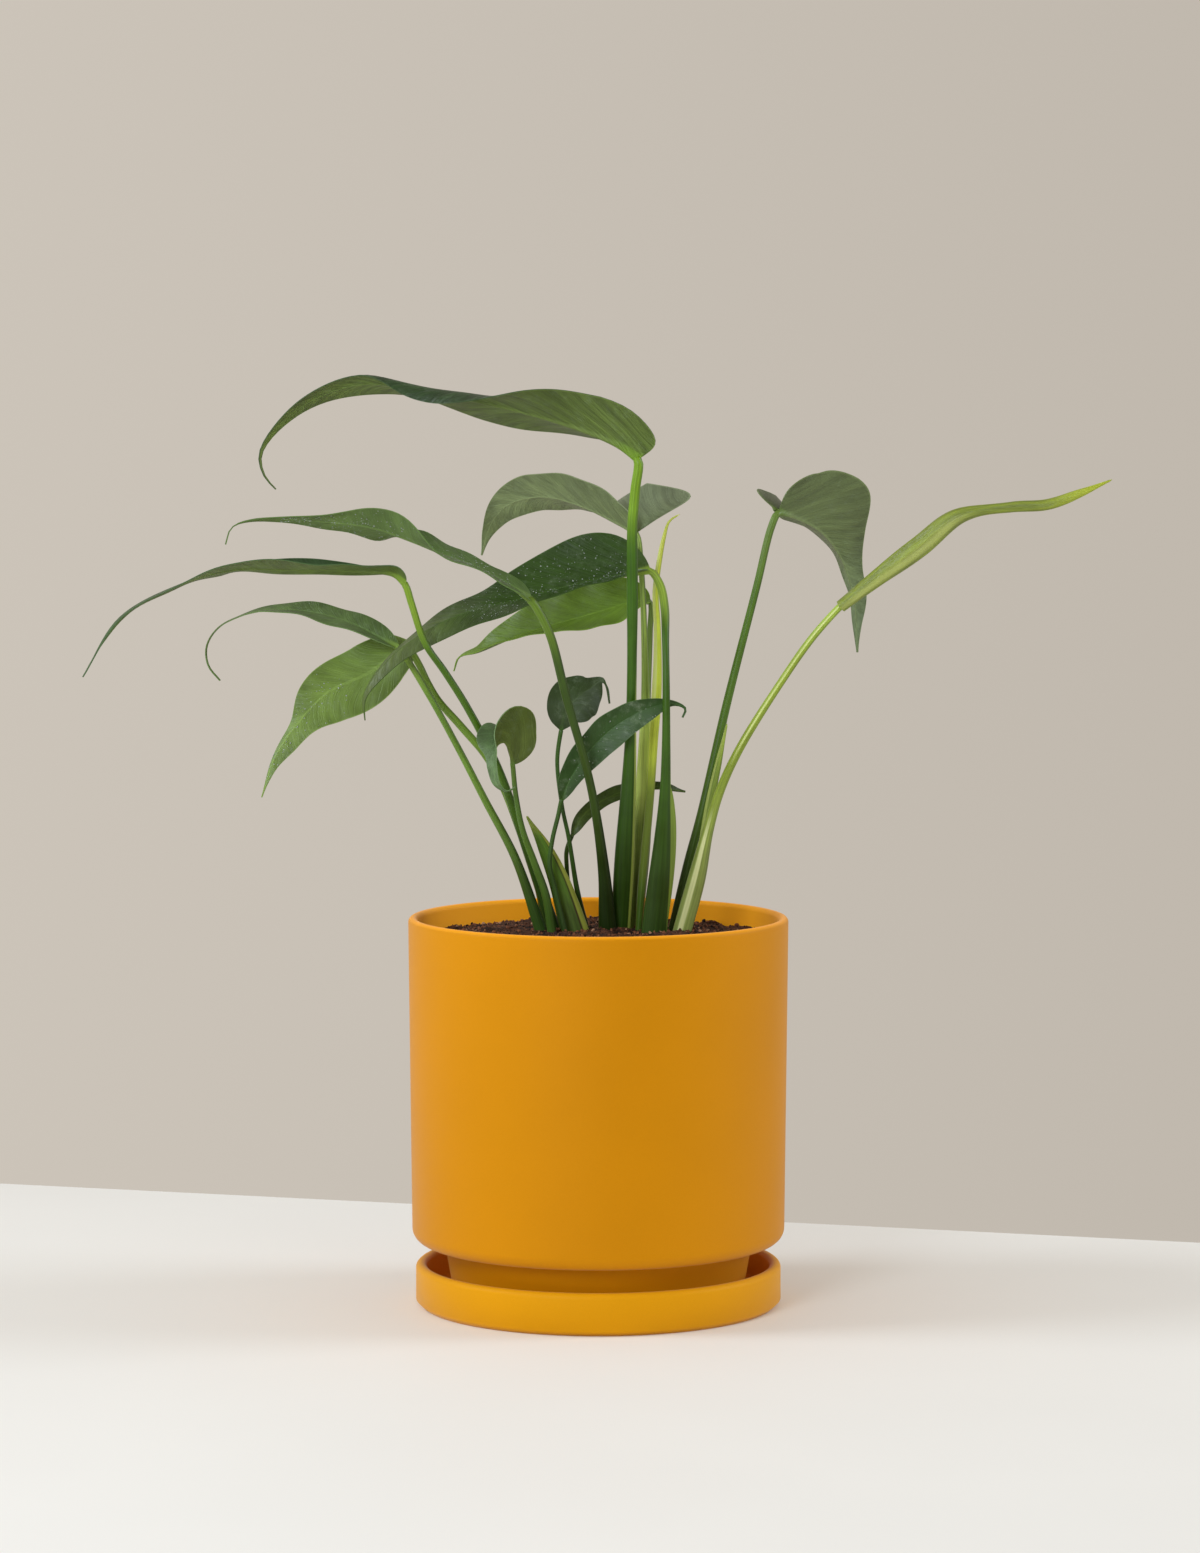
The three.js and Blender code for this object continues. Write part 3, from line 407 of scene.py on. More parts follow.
# Sheaths that stand free of the petioles, with the same entries
SHEATHS = {}
SHEATHS["sheath_left"] = dict(
    stalk=[[-13, 15, 200], [-21.5, 15, 227], [-29.5, 13, 245.5], [-38.5, 11, 261.5]],
    girth=[7.5, 6, 4, 0.6], flat=[0.35], tones=[(72, 94, 34), (84, 120, 34), (140, 158, 66)],
    strips=[dict(across=(0.62, 1.2), up=(-0.1, 0.92), color=(156, 164, 66)),
        dict(across=(0.5, 0.6), up=(-0.1, 0.72), color=(58, 26, 22), soft=0.04)],
)
SHEATHS["sheath_right"] = dict(
    stalk=[[46, 14, 200], [50.5, 14, 221.5], [55, 13.5, 238], [60, 13, 269], [64.7, 13, 291],
        [69, 13.5, 311]],
    girth=[3.5, 3.2, 2.8, 2.4, 1.8, 0.5], flat=[0.4],
    tones=[(110, 126, 54), (118, 138, 54), (150, 170, 70)],
    # The strip is the sheath's paler green with a painted highlight on it
    strips=[dict(across=(-1.0, -0.45), up=(-0.1, 1.1), color=(164, 178, 92))],
)


def srgb(color):
    """A screen colour of 0 to 255 as the shaders take it."""
    shares = [value / 255 for value in color]
    return (*(v / 12.92 if v <= 0.04045 else ((v + 0.055) / 1.055) ** 2.4 for v in shares), 1)


def values_at(values, places):
    """Smooth values at places of 0 to 1, through values that are spaced evenly."""
    values = np.asarray(values, float)
    if len(values) == 1:
        return np.full(np.shape(places), values[0])
    x = np.clip(places, 0, 1) * (len(values) - 1)
    i = np.minimum(x.astype(int), len(values) - 2)
    f = x - i
    a = values[np.maximum(i - 1, 0)]
    b = values[i]
    c = values[i + 1]
    d = values[np.minimum(i + 2, len(values) - 1)]
    return b + 0.5 * f * (c - a + f * (2 * a - 5 * b + 4 * c - d + f * (3 * (b - c) + d - a)))


def unit(vectors):
    """The vectors, each with length 1."""
    return vectors / np.maximum(np.linalg.norm(vectors, axis=-1, keepdims=True), 1e-12)


def smooth_line(points):
    """Points close together on the centripetal curve through the given ones."""
    p = np.asarray(points, float)
    p = np.vstack([2 * p[0] - p[1], p, 2 * p[-1] - p[-2]])
    line = []
    for a, b, c, d in zip(p, p[1:], p[2:], p[3:]):
        t1 = np.linalg.norm(b - a) ** 0.5
        t2 = t1 + np.linalg.norm(c - b) ** 0.5
        t3 = t2 + np.linalg.norm(d - c) ** 0.5
        t = np.linspace(t1, t2, LINE_STEPS, endpoint=False)[:, None]
        ab = a + (b - a) * t / t1
        bc = b + (c - b) * (t - t1) / (t2 - t1)
        cd = c + (d - c) * (t - t2) / (t3 - t2)
        abc = ab + (bc - ab) * t / t2
        bcd = bc + (cd - bc) * (t - t1) / (t3 - t1)
        line.append(abc + (bcd - abc) * (t - t1) / (t2 - t1))
    return np.vstack([*line, p[-2]])


class Spine:
    """A curve through points, with the direction of the upper side carried along it without twisting."""

    def __init__(self, points, face):
        line = smooth_line(points)
        run = np.r_[0, np.cumsum(np.linalg.norm(np.diff(line, axis=0), axis=1))]
        self.length = run[-1]
        self.places = np.linspace(0, 1, SPINE_STATIONS)
        self.line = np.column_stack([np.interp(self.places * run[-1], run, line[:, k]) for k in range(3)])
        self.tangents = unit(np.gradient(self.line, axis=0))
        normal = np.asarray(face, float)
        self.normals = np.empty_like(self.tangents)
        for i, tangent in enumerate(self.tangents):
            normal = unit(normal - tangent * (normal @ tangent))
            self.normals[i] = normal

    def at(self, rows, t):
        """Values between the rows that go with the curve's stations, at places t of 0 to 1."""
        return np.stack([np.interp(t, self.places, rows[:, k]) for k in range(3)], axis=-1)

    def point(self, t):
        """Places on the curve, or on its straight lengthening behind the start."""
        behind = np.minimum(t, 0)[..., None] * self.length
        return self.at(self.line, t) + behind * self.tangents[0]

    def tangent(self, t):
        return unit(self.at(self.tangents, t))

    def normal(self, t):
        return unit(self.at(self.normals, t))

    def across(self, t):
        return unit(np.cross(self.at(self.tangents, t), self.normal(t)))


def beyond(start, end, distance):
    """The point a distance past the end, on the line from start to end."""
    start, end = np.array([start, end], float)
    return end + unit(end - start) * distance


def make_piece(name, points, faces, materials, measures=(), sharp=60, numbers=None):
    """A mesh of points in millimetres, with named measures on its points for its materials to read. The
    numbers say which material each face has, if there are several."""
    mesh = bpy.data.meshes.new(name)
    mesh.from_pydata((np.asarray(points) * MM).tolist(), [], faces)
    for material in materials:
        mesh.materials.append(material)
    if numbers:
        mesh.polygons.foreach_set("material_index", numbers)
    mesh.polygons.foreach_set("use_smooth", [True] * len(faces))
    for measure, values in dict(measures).items():
        layer = mesh.attributes.new(measure, "FLOAT", "POINT")
        layer.data.foreach_set("value", np.asarray(values, float).ravel())
    mesh.set_sharp_from_angle(angle=math.radians(sharp))
    mesh.update()
    piece = bpy.data.objects.new(name, mesh)
    bpy.context.collection.objects.link(piece)
    return piece


def stand_for(piece, node):
    """The piece rides on the only body and takes the node's place."""
    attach(piece, "root")
    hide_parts(node)


class Nodes:
    """A tree of shader nodes, to which each call adds a node."""

    def __init__(self, tree):
        self.tree = tree

    def node(self, kind, inputs=(), **settings):
        made = self.tree.nodes.new(kind)
        for key, value in settings.items():
            setattr(made, key, value)
        for key, value in dict(inputs).items():
            self.feed(made.inputs[key], value)
        return made

    def feed(self, socket, value):
        """Link or set the socket. A tuple is a screen colour."""
        if isinstance(value, bpy.types.NodeSocket):
            self.tree.links.new(value, socket)
        elif isinstance(value, tuple):
            socket.default_value = srgb(value)[:len(socket.default_value)]
        else:
            socket.default_value = value

    def blend(self, share, first, second):
        inputs = {0: share, 6: first, 7: second}
        return self.node("ShaderNodeMix", inputs, data_type="RGBA").outputs[2]


class Shader(Nodes):
    """The nodes of a material, which end in its principled shader."""

    def __init__(self, name):
        self.material = bpy.data.materials.new(name)
        self.material.use_nodes = True
        super().__init__(self.material.node_tree)
        self.surface = self.tree.nodes["Principled BSDF"]

    def times(self, a, b):
        return self.node("ShaderNodeMath", {0: a, 1: b}, operation="MULTIPLY").outputs[0]

    def plus(self, a, b):
        return self.node("ShaderNodeMath", {0: a, 1: b}, operation="ADD").outputs[0]

    def measure(self, name):
        return self.node("ShaderNodeAttribute", attribute_name=name).outputs["Fac"]

    def noise(self, scale, detail, roughness=0.5, vector=None):
        """A noise over the piece's own space, or over another vector."""
        vector = vector or self.node("ShaderNodeTexCoord").outputs["Object"]
        inputs = {"Vector": vector, "Scale": scale, "Detail": detail, "Roughness": roughness}
        return self.node("ShaderNodeTexNoise", inputs).outputs["Fac"]

    def spread(self, value, low, high, to_low=0.0, to_high=1.0):
        """The value's way from low to high, as a smooth share between two ends."""
        inputs = {0: value, 1: low, 2: high, 3: to_low, 4: to_high}
        return self.node("ShaderNodeMapRange", inputs, interpolation_type="SMOOTHSTEP").outputs[0]

    def vary(self, pattern, least, most):
        """A value between two ends that follows a noise."""
        return self.spread(pattern, 0.3, 0.7, least, most)

    def uneven(self, pattern, roughness):
        """A roughness that follows a noise, from a little smoother to a little rougher."""
        return self.spread(pattern, 0.25, 0.75, roughness - 0.06, roughness + 0.08)

    def shade(self, color, factor):
        """The colour, darker or lighter by a factor."""
        return self.node("ShaderNodeVectorMath", {0: color, "Scale": factor}, operation="SCALE").outputs[0]

    def lines(self, along, across, detail, roughness=0.55):
        """Irregular lines: a noise over two measures, which runs slowly in the direction of the lines."""
        vector = self.node("ShaderNodeCombineXYZ", {0: along, 1: across}).outputs[0]
        return self.noise(1.0, detail, roughness, vector)

    def band(self, value, low, high, soft):
        """1 where the value lies between two ends, falling softly to 0 past them."""
        rising = self.spread(value, low - soft, low + soft)
        return self.times(rising, self.spread(value, high - soft, high + soft, 1.0, 0.0))

    def finish(self, color, roughness, height, depth, strength, **more):
        """The finished material, with bumps that follow a height and are a depth in millimetres deep."""
        bumps = {"Height": height, "Distance": depth * MM, "Strength": strength}
        normal = self.node("ShaderNodeBump", bumps).outputs[0]
        inputs = {"Base_Color": color, "Roughness": roughness, "Normal": normal, **more}
        for key, value in inputs.items():
            self.feed(self.surface.inputs[key.replace("_", " ")], value)
        return self.material


def blade_material(name, leaf, side):
    """A leathery blade: fine slanting veins, soft pleats between them with painted shade and light, patches
    of painted sheen, a midrib and a thin light margin. Its base takes on the colour of the petiole's joint."""
    s = Shader(name)
    roughness, relief = BLADE_SIDES[side]
    pleats = leaf.get("pleats", 1.0)
    depth = PAINTED_PLEAT_SHADE * pleats
    base = leaf[side]
    pale = tuple(min(255, value * 1.2 + 16) for value in base)
    vein = s.measure("vein")
    along = s.measure("along")
    across = s.measure("across")
    rib = s.measure("rib")
    slow = s.times(across, 0.9)
    pleat = s.lines(s.times(vein, PLEATS_PER_MM), slow, 2.0)
    fine = s.lines(s.times(vein, VEINS_PER_MM), slow, 2.0, 0.5)
    cloud = s.noise(34, 4.0, 0.6)
    grain = s.noise(1100, 2.0, 0.6)
    sheen_patches = s.noise(150, 6.0, 0.75)

    color = s.blend(s.spread(along, 0.45, 0.8), base, leaf.get("tip", base))
    # Painted shade and light: each pleat's hollow is darker and its crest lighter
    color = s.shade(color, s.vary(pleat, 1 - depth, 1 + depth))
    color = s.shade(color, s.vary(cloud, 0.86, 1.14))
    color = s.shade(color, s.spread(across, 0.1, 1.0, 1.1, 0.86))
    color = s.shade(color, s.vary(grain, 0.96, 1.04))
    # Painted sheen: pale patches that stand in for light reflected off the blade
    bloom = s.times(s.spread(sheen_patches, 0.5, 0.75), leaf.get("bloom", PAINTED_SHEEN_STRENGTH))
    color = s.blend(bloom, color, PAINTED_SHEEN_COLOR)
    ridge = s.times(s.spread(fine, 0.52, 0.66), s.spread(s.measure("broad"), 2.0, 7.0))
    color = s.blend(s.times(ridge, depth), color, pale)
    color = s.blend(s.times(s.spread(rib, 0.35, 0.9), 0.45), color, pale)
    joint = s.times(s.spread(along, 0.0, 0.09, 1.0, 0.0), s.spread(rib, 0.0, 0.6, 0.1, 1.0))
    color = s.blend(joint, color, leaf["tones"][2])
    color = s.blend(s.spread(across, 0.96, 1.0, 0.0, 0.6), color, pale)
    height = s.plus(s.times(pleat, 2.4 * pleats), s.times(ridge, relief * pleats))
    return s.finish(color, s.uneven(cloud, roughness), height, 0.4, 0.8, Specular_IOR_Level=0.3)


def stalk_material(name, leaf, roughness):
    """A petiole, from its sheathed foot to the paler joint under the blade, with fine lengthwise lines,
    painted shade down its right-hand flank, and bands of another colour, some of them painted highlights and
    light.
    """
    s = Shader(name)
    low, middle, high = leaf["tones"]
    grooves = leaf.get("grooves", GROOVE_DEPTH)
    up = s.measure("up")
    front = s.measure("front")
    groove = s.lines(s.times(s.measure("around"), 11), s.times(up, 3), 3.0, 0.6)
    cloud = s.noise(60, 3.0)

    color = s.blend(s.spread(up, 0.05, 0.5), low, middle)
    color = s.blend(s.spread(up, 0.78, 0.92), color, high)
    color = s.shade(color, s.spread(groove, 0.32, 0.68, 1 - grooves, 1 + grooves))
    color = s.shade(color, s.vary(cloud, 0.9, 1.1))
    # Painted shade: darker down the right-hand flank as seen from the front, a little lighter on the left
    color = s.shade(color, s.spread(front, 0.3, 1.0, 1.06, 0.68))
    for strip in leaf.get("strips", ()):
        inside = s.band(front, *strip["across"], strip.get("soft", 0.08))
        inside = s.times(inside, s.band(up, *strip["up"], 0.06))
        inside = s.times(inside, s.spread(groove, 0.3, 0.6, 0.6, 1.0))
        color = s.blend(inside, color, strip["color"])
    height = s.plus(groove, s.times(cloud, 0.6))
    return s.finish(color, s.uneven(cloud, roughness), height, 0.5, 0.35, Specular_IOR_Level=0.25)


def roll_material(name, color):
    """A leaf that is still rolled up: lengthwise creases, a paler outer flap and a brighter tip."""
    s = Shader(name)
    up = s.measure("up")
    around = s.measure("around")
    crease = s.lines(s.times(around, 5), s.times(up, 5), 3.0, 0.6)
    fine = s.lines(s.times(around, 26), s.times(up, 30), 2.0)
    color = s.shade(color, s.spread(crease, 0.35, 0.65, 0.76, 1.2))
    color = s.shade(color, s.spread(fine, 0.35, 0.65, 0.92, 1.08))
    color = s.blend(s.spread(up, 0.72, 1.0), color, ROLL_TIP)
    flap = s.times(s.band(around, 0.5, 0.72, 0.1), s.band(up, 0.0, 0.5, 0.08))
    color = s.blend(s.times(flap, 0.55), color, ROLL_FLAP)
    height = s.plus(crease, s.times(fine, 0.3))
    return s.finish(color, s.vary(crease, 0.34, 0.48), height, 1.2, 0.9)


def glaze_material(name, color):
    """Satin golden glaze with a faint cloud of tone and a very fine, even grain, painted lighter inside as
    painted light.
    """
    s = Shader(name)
    cloud = s.noise(9, 3.0)
    grain = s.noise(1500, 2.0)
    ripple = s.noise(60, 2.0)
    # Painted light: the glaze inside the pot is lighter, and so is its lip, as a painted highlight
    color = s.blend(s.measure("inside"), color, INSIDE_GLAZE_PAINTED_LIGHT)
    color = s.shade(color, s.vary(cloud, 0.97, 1.03))
    color = s.shade(color, s.vary(grain, 0.985, 1.015))
    height = s.plus(s.times(grain, 0.04), s.times(ripple, 0.3))
    sheen = {"Sheen_Weight": 0.12, "Sheen_Roughness": 0.4}
    return s.finish(color, s.vary(cloud, 0.46, 0.52), height, 0.2, 0.35, Specular_IOR_Level=0.08, **sheen)


def soil_material():
    """Moist, dark potting mix, cloudy brown with fine crumbs."""
    s = Shader("potting_mix")
    cloud = s.noise(120, 5.0, 0.65)
    crumbs = s.noise(900, 4.0, 0.7)
    color = s.blend(s.spread(cloud, 0.35, 0.65), SOIL_DARK, SOIL_LIGHT)
    color = s.shade(color, s.spread(crumbs, 0.35, 0.65, 0.45, 1.55))
    roughness = s.spread(crumbs, 0.2, 0.8, 0.75, 0.95)
    return s.finish(color, roughness, crumbs, 1.2, 0.9, Specular_IOR_Level=0.2)


def crumb_material():
    """Bark and grit, each bit with its own tone."""
    s = Shader("bark_and_grit")
    tone = s.measure("tone")
    grain = s.noise(1400, 4.0, 0.7)
    color = s.blend(s.spread(tone, 0.0, 0.7), BARK_DARK, BARK_LIGHT)
    color = s.blend(s.spread(tone, 0.9, 1.0), color, GRIT)
    color = s.shade(color, s.vary(grain, 0.7, 1.3))
    roughness = s.spread(grain, 0.2, 0.8, 0.6, 0.9)
    return s.finish(color, roughness, grain, 0.4, 0.8, Specular_IOR_Level=0.2)


def water_material():
    """Small drops left by misting."""
    s = Shader("water_drops")
    cloud = s.noise(400, 2.0)
    color = s.blend(cloud, WATER_DARK, WATER_LIGHT)
    roughness = s.vary(cloud, 0.04, 0.1)
    return s.finish(color, roughness, cloud, 0.05, 0.3, IOR=1.33, Transmission_Weight=0.55)


def along_and_width(leaf, side, u, q, length):
    """How far along its leaf a point of the blade lies, for a row u and a share q of the half, and how wide
    the half is there."""
    base = np.minimum(u / BASE_SHARE, 1)
    opening = np.sin(base * np.pi / 2) ** BASE_ROUNDNESS
    back = leaf["lobe"][side == "right"] * np.sin(np.pi * base ** LOBE_SKEW)
    width = values_at(leaf[side], u) * opening
    width = np.maximum(np.maximum(width, NECK_WIDTH * (1 - base)), TIP_WIDTH / 2)
    return u * length - back * q ** LOBE_BEND, width


def blade_half(leaf, spine, side, u, q):
    """Measures over one half of the blade's middle surface, an arc that leaves the midrib at its rise."""
    along, width = along_and_width(leaf, side, u, q, spine.length)
    rise = np.radians(values_at(leaf[side + "Rise"], u))
    curl = np.radians(values_at(leaf.get(side + "Curl", [0]), u)) * q
    reach = width * q
    bent = np.abs(curl) > 1e-4
    safe = np.where(bent, curl, 1)
    out = np.where(bent, reach * (np.sin(rise + curl) - np.sin(rise)) / safe, reach * np.cos(rise))
    up = np.where(bent, reach * (np.cos(rise) - np.cos(rise + curl)) / safe, reach * np.sin(rise))
    hand = -1 if side == "left" else 1
    place = spine.point(along / spine.length)
    place = place + spine.across(u) * (hand * out)[..., None] + spine.normal(u) * up[..., None]
    vein = along - leaf.get("slant", VEIN_SLANT) * reach * (1 - VEIN_BEND * q)
    return {"place": place, "reach": reach, "vein": vein, "broad": width, "across": q, "along": u}


def blade_grid(leaf):
    """Measures over the blade's middle surface, from base to tip and from left margin to right."""
    spine = Spine(leaf["rib"], leaf.get("face", UP))
    u = (np.arange(BLADE_ROWS + 1) / BLADE_ROWS)[:, None] ** ROW_BUNCHING
    q = (np.arange(BLADE_COLUMNS + 1) / BLADE_COLUMNS)[None, :] ** COLUMN_BUNCHING
    u, q = np.broadcast_arrays(u, q)
    left, right = (blade_half(leaf, spine, side, u, q) for side in ("left", "right"))
    right["vein"] = right["vein"] + VEIN_SHIFT
    grid = {key: np.concatenate([left[key][:, :0:-1], right[key]], axis=1) for key in left}
    grid["normal"] = unit(np.cross(np.gradient(grid["place"], axis=1), np.gradient(grid["place"], axis=0)))
    waves = np.sin(2 * np.pi * (grid["along"] * RIPPLE_WAVES + grid["reach"] * RIPPLE_SLANT))
    ripple = RIPPLE * waves * grid["across"] ** 2 * np.clip(grid["broad"] / RIPPLE_WIDTH, 0, 1)
    grid["place"] = grid["place"] + grid["normal"] * ripple[..., None]
    return grid


def rib_radius(leaf, along):
    """Half width of the midrib: the petiole's own at the base, tapering quickly and then slowly."""
    quick = RIB_LOSS * np.exp(-along / RIB_LOSS_REACH)
    return leaf["girth"][-1] * (quick + (1 - RIB_LOSS) * (1 - along) ** RIB_TAPER)


def blade_piece(node, leaf, materials):
    """A blade with an upper skin, an under skin and a rim, thickened by its midrib."""
    grid = blade_grid(leaf)
    radius = rib_radius(leaf, grid["along"])
    grid["rib"] = np.clip(RIB_EDGE * (2 - grid["reach"] / np.maximum(radius, LEAST_RIB)), 0, 1)
    swell = np.sqrt(np.clip(radius ** 2 - grid["reach"] ** 2, 0, None))
    upper = grid["place"] + grid["normal"] * (SHEET / 2 - UPPER_GROOVE * swell)[..., None]
    under = grid["place"] - grid["normal"] * (SHEET / 2 + UNDER_SWELL * swell)[..., None]
    points = np.concatenate([upper.reshape(-1, 3), under.reshape(-1, 3)])
    count = grid["reach"].size
    index = np.arange(count).reshape(grid["reach"].shape)
    corners = [index[:-1, :-1], index[:-1, 1:], index[1:, 1:], index[1:, :-1]]
    upper_faces = np.stack(corners, axis=-1).reshape(-1, 4).tolist()
    under_faces = [[corner + count for corner in reversed(face)] for face in upper_faces]
    margin = np.concatenate([index[0, :-1], index[:-1, -1], index[-1, :0:-1], index[:0:-1, 0]]).tolist()
    rim = [(a, a + count, b + count, b) for a, b in zip(margin, margin[1:] + margin[:1])]
    faces = [*upper_faces, *under_faces, *rim]
    numbers = [0] * len(upper_faces) + [1] * len(under_faces) + [0] * len(rim)
    measures = {key: np.tile(grid[key].ravel(), 2) for key in ("vein", "across", "along", "rib", "broad")}
    return make_piece(node + "_fine", points, faces, materials, measures, 70, numbers)


def full_turn(steps):
    """Angles once round, evenly spaced."""
    return 2 * np.pi * np.arange(steps) / steps


def tube_faces(rings, sides, closed=False):
    """Faces between rings of points, each with as many sides. If closed, the last ring joins the first."""
    faces = []
    for i in range(rings if closed else rings - 1):
        a = i * sides
        b = (i + 1) % rings * sides
        for k in range(sides):
            j = (k + 1) % sides
            faces.append((a + k, a + j, b + j, b + k))
    return faces


def stalk_piece(node, line, girth, material, flat=(1,), buried=ROOT_DEPTH, seam=0.0, wing=None):
    """A round or flattened stem with a rounded end. A seam makes its skin overlap itself, as on a leaf that
    is still rolled."""
    spine = Spine(line, TO_VIEWER)
    t = np.linspace(0, 1, STALK_STEPS + 1)
    station = np.clip((t * spine.length - buried) / (spine.length - buried), 0, 1)
    wide = values_at(girth, station)[:, None]
    left_over = np.clip((1 - t) * spine.length / wide[-1], 0, 1)
    rounding = np.sqrt(1 - (1 - left_over) ** 2)[:, None]
    deep = wide * values_at(flat, station)[:, None] * rounding
    wide = wide * rounding
    tangent = spine.tangent(t)
    side = unit(np.cross(tangent, TO_VIEWER))[:, None, :]
    depth = np.cross(tangent[:, None, :], side)
    angle = full_turn(STALK_SIDES)
    skin = 1 - seam * ((angle / (2 * np.pi) + SEAM_PLACE) % 1)
    out = wide * np.cos(angle) * skin
    if wing:
        low, high = wing["up"]
        share = np.clip((station - low) / (high - low), 0, 1)
        fin = wing["width"] * np.sin(np.pi * share ** WING_SKEW) ** WING_ROUNDNESS
        out = out + fin[:, None] * np.clip(np.cos(angle), 0, 1) ** WING_THINNESS
    ring = side * out[..., None] + depth * (deep * np.sin(angle) * skin)[..., None]
    points = (spine.point(t)[:, None, :] + ring).reshape(-1, 3)
    last = STALK_STEPS * STALK_SIDES
    ends = [tuple(range(STALK_SIDES - 1, -1, -1)), tuple(range(last, last + STALK_SIDES))]
    faces = tube_faces(STALK_STEPS + 1, STALK_SIDES) + ends
    around = np.abs(np.arange(STALK_SIDES) / STALK_SIDES - 0.5) * 2
    measures = {
        "up": np.repeat(station, STALK_SIDES),
        "around": np.tile(around, STALK_STEPS + 1),
        "front": out / np.maximum(wide, 0.05),
    }
    return make_piece(node + "_fine", points, faces, [material], measures)


def stalk_line(leaf):
    """A petiole's middle line, from its root in the soil up into the base of its blade if it has one."""
    blade = leaf.get("rib") or leaf.get("roll")
    line = [beyond(leaf["stalk"][1], leaf["stalk"][0], ROOT_DEPTH), *leaf["stalk"]]
    if blade:
        line += [blade[0], beyond(blade[1], blade[0], -JOINT_REACH * leaf["girth"][-1])]
    return line


def arc(x, z, radius, start, end, steps=10):
    """An arc of a lathe profile round a centre, between two angles in degrees."""
    angles = np.radians(np.linspace(start, end, steps + 1))
    return [(x + radius * math.cos(angle), z + radius * math.sin(angle)) for angle in angles]


def turned_piece(node, profile, material, inside=None):
    """A solid of revolution about Z, from a closed profile of (radius, height) that runs anticlockwise.
    Inside tells for each of its points how far it counts as the inside of a vessel, from 0 to 1; the glaze
    is painted lighter there, as painted light."""
    angles = full_turn(ROUND_STEPS)
    points = [(r * math.cos(a), r * math.sin(a), z) for r, z in profile for a in angles]
    faces = tube_faces(len(profile), ROUND_STEPS, closed=True)
    measures = {"inside": np.repeat(inside or [0] * len(profile), ROUND_STEPS)}
    return make_piece(node + "_fine", points, faces, [material], measures, sharp=50)


def pot_inside(z):
    """Inner radius of the pot at a height."""
    share = (z - POT_UNDERSIDE) / (POT_TOP - POT_UNDERSIDE)
    return POT_BASE_RADIUS + (POT_RADIUS - POT_BASE_RADIUS) * share - WALL


def pot_profile():
    lip = WALL / 2
    floor = POT_UNDERSIDE + POT_FLOOR
    corner = floor + POT_CORNER
    foot = SAUCER_FLOOR + GAP
    foot_bottom = FOOT_RADIUS - FOOT_TAPER
    return [
        (DRAIN_RADIUS, POT_UNDERSIDE),
        (foot_bottom - FOOT_WALL, POT_UNDERSIDE),
        (foot_bottom - FOOT_WALL, foot),
        *arc(foot_bottom - FOOT_EDGE, foot + FOOT_EDGE, FOOT_EDGE, -90, 0),
        (FOOT_RADIUS, POT_UNDERSIDE - FOOT_EDGE),
        *arc(FOOT_RADIUS + FOOT_EDGE, POT_UNDERSIDE - FOOT_EDGE, FOOT_EDGE, 180, 90, 6),
        *arc(POT_BASE_RADIUS - POT_CORNER, POT_UNDERSIDE + POT_CORNER, POT_CORNER, -90, 0),
        *arc(POT_RADIUS - lip, POT_TOP - lip, lip, 0, 180, 16),
        *arc(pot_inside(corner) - POT_CORNER, corner, POT_CORNER, 0, -90),
        (DRAIN_RADIUS, floor),
    ]


def saucer_profile():
    lip = SAUCER_WALL / 2
    inside = SAUCER_RADIUS - SAUCER_WALL
    return [
        (AXIS, 0),
        (SAUCER_RADIUS - SAUCER_BEVEL, 0),
        (SAUCER_RADIUS, SAUCER_BEVEL),
        *arc(SAUCER_RADIUS - lip, SAUCER_HEIGHT - lip, lip, 0, 180, 16),
        *arc(inside - SAUCER_COVE, SAUCER_FLOOR + SAUCER_COVE, SAUCER_COVE, 0, -90, 6),
        (AXIS, SAUCER_FLOOR),
    ]


def soil_height(x, y):
    """Height of the soil's top at a place: the CAD source's waves, and finer bumps on them."""
    r = math.hypot(x, y) / POT_RADIUS
    crumbs = math.sin(x * 0.31 + 1) * math.cos(y * 0.27) + math.sin(x * 0.13 - y * 0.21 + 2)
    fine = noise.noise(Vector((x * 0.3, y * 0.3, 4))) + 0.5 * noise.noise(Vector((x * 0.9, y * 0.9, 9)))
    return SOIL_LEVEL + SOIL_DOME * (1 - r * r) + SOIL_BUMP * crumbs + SOIL_FINE_BUMP * fine


def soil_piece():
    """The filling of soil. Its flat top is turned first and then raised to the crumbly height."""
    top = pot_inside(SOIL_LEVEL) - GAP
    floor = POT_UNDERSIDE + POT_FLOOR + GAP
    corner = floor + POT_CORNER
    bottom = pot_inside(corner) - GAP
    profile = [(AXIS, floor), (bottom - POT_CORNER, floor), (bottom, corner)]
    profile += [(top * i / SOIL_RINGS, SOIL_LEVEL) for i in range(SOIL_RINGS, 0, -1)]
    piece = turned_piece("soil", [*profile, (AXIS, SOIL_LEVEL)], soil_material())
    for vertex in piece.data.vertices:
        if vertex.co.z > (SOIL_LEVEL - 1) * MM:
            vertex.co.z = soil_height(vertex.co.x / MM, vertex.co.y / MM) * MM
    return piece


def icosahedron():
    """Corners and faces of a regular icosahedron of radius 1."""
    long = (1 + math.sqrt(5)) / 2
    corners = []
    for a in (-1, 1):
        for b in (-long, long):
            corners += [(0, a, b), (a, b, 0), (b, 0, a)]
    corners = unit(np.array(corners))
    longest_edge = 1.1
    close = np.linalg.norm(corners[:, None] - corners, axis=-1) < longest_edge
    faces = []
    for i, j, k in itertools.combinations(range(len(corners)), 3):
        if close[i, j] and close[j, k] and close[i, k]:
            a, b, c = corners[[i, j, k]]
            outward = np.cross(b - a, c - a) @ (a + b + c) > 0
            faces.append((i, j, k) if outward else (i, k, j))
    return corners, faces


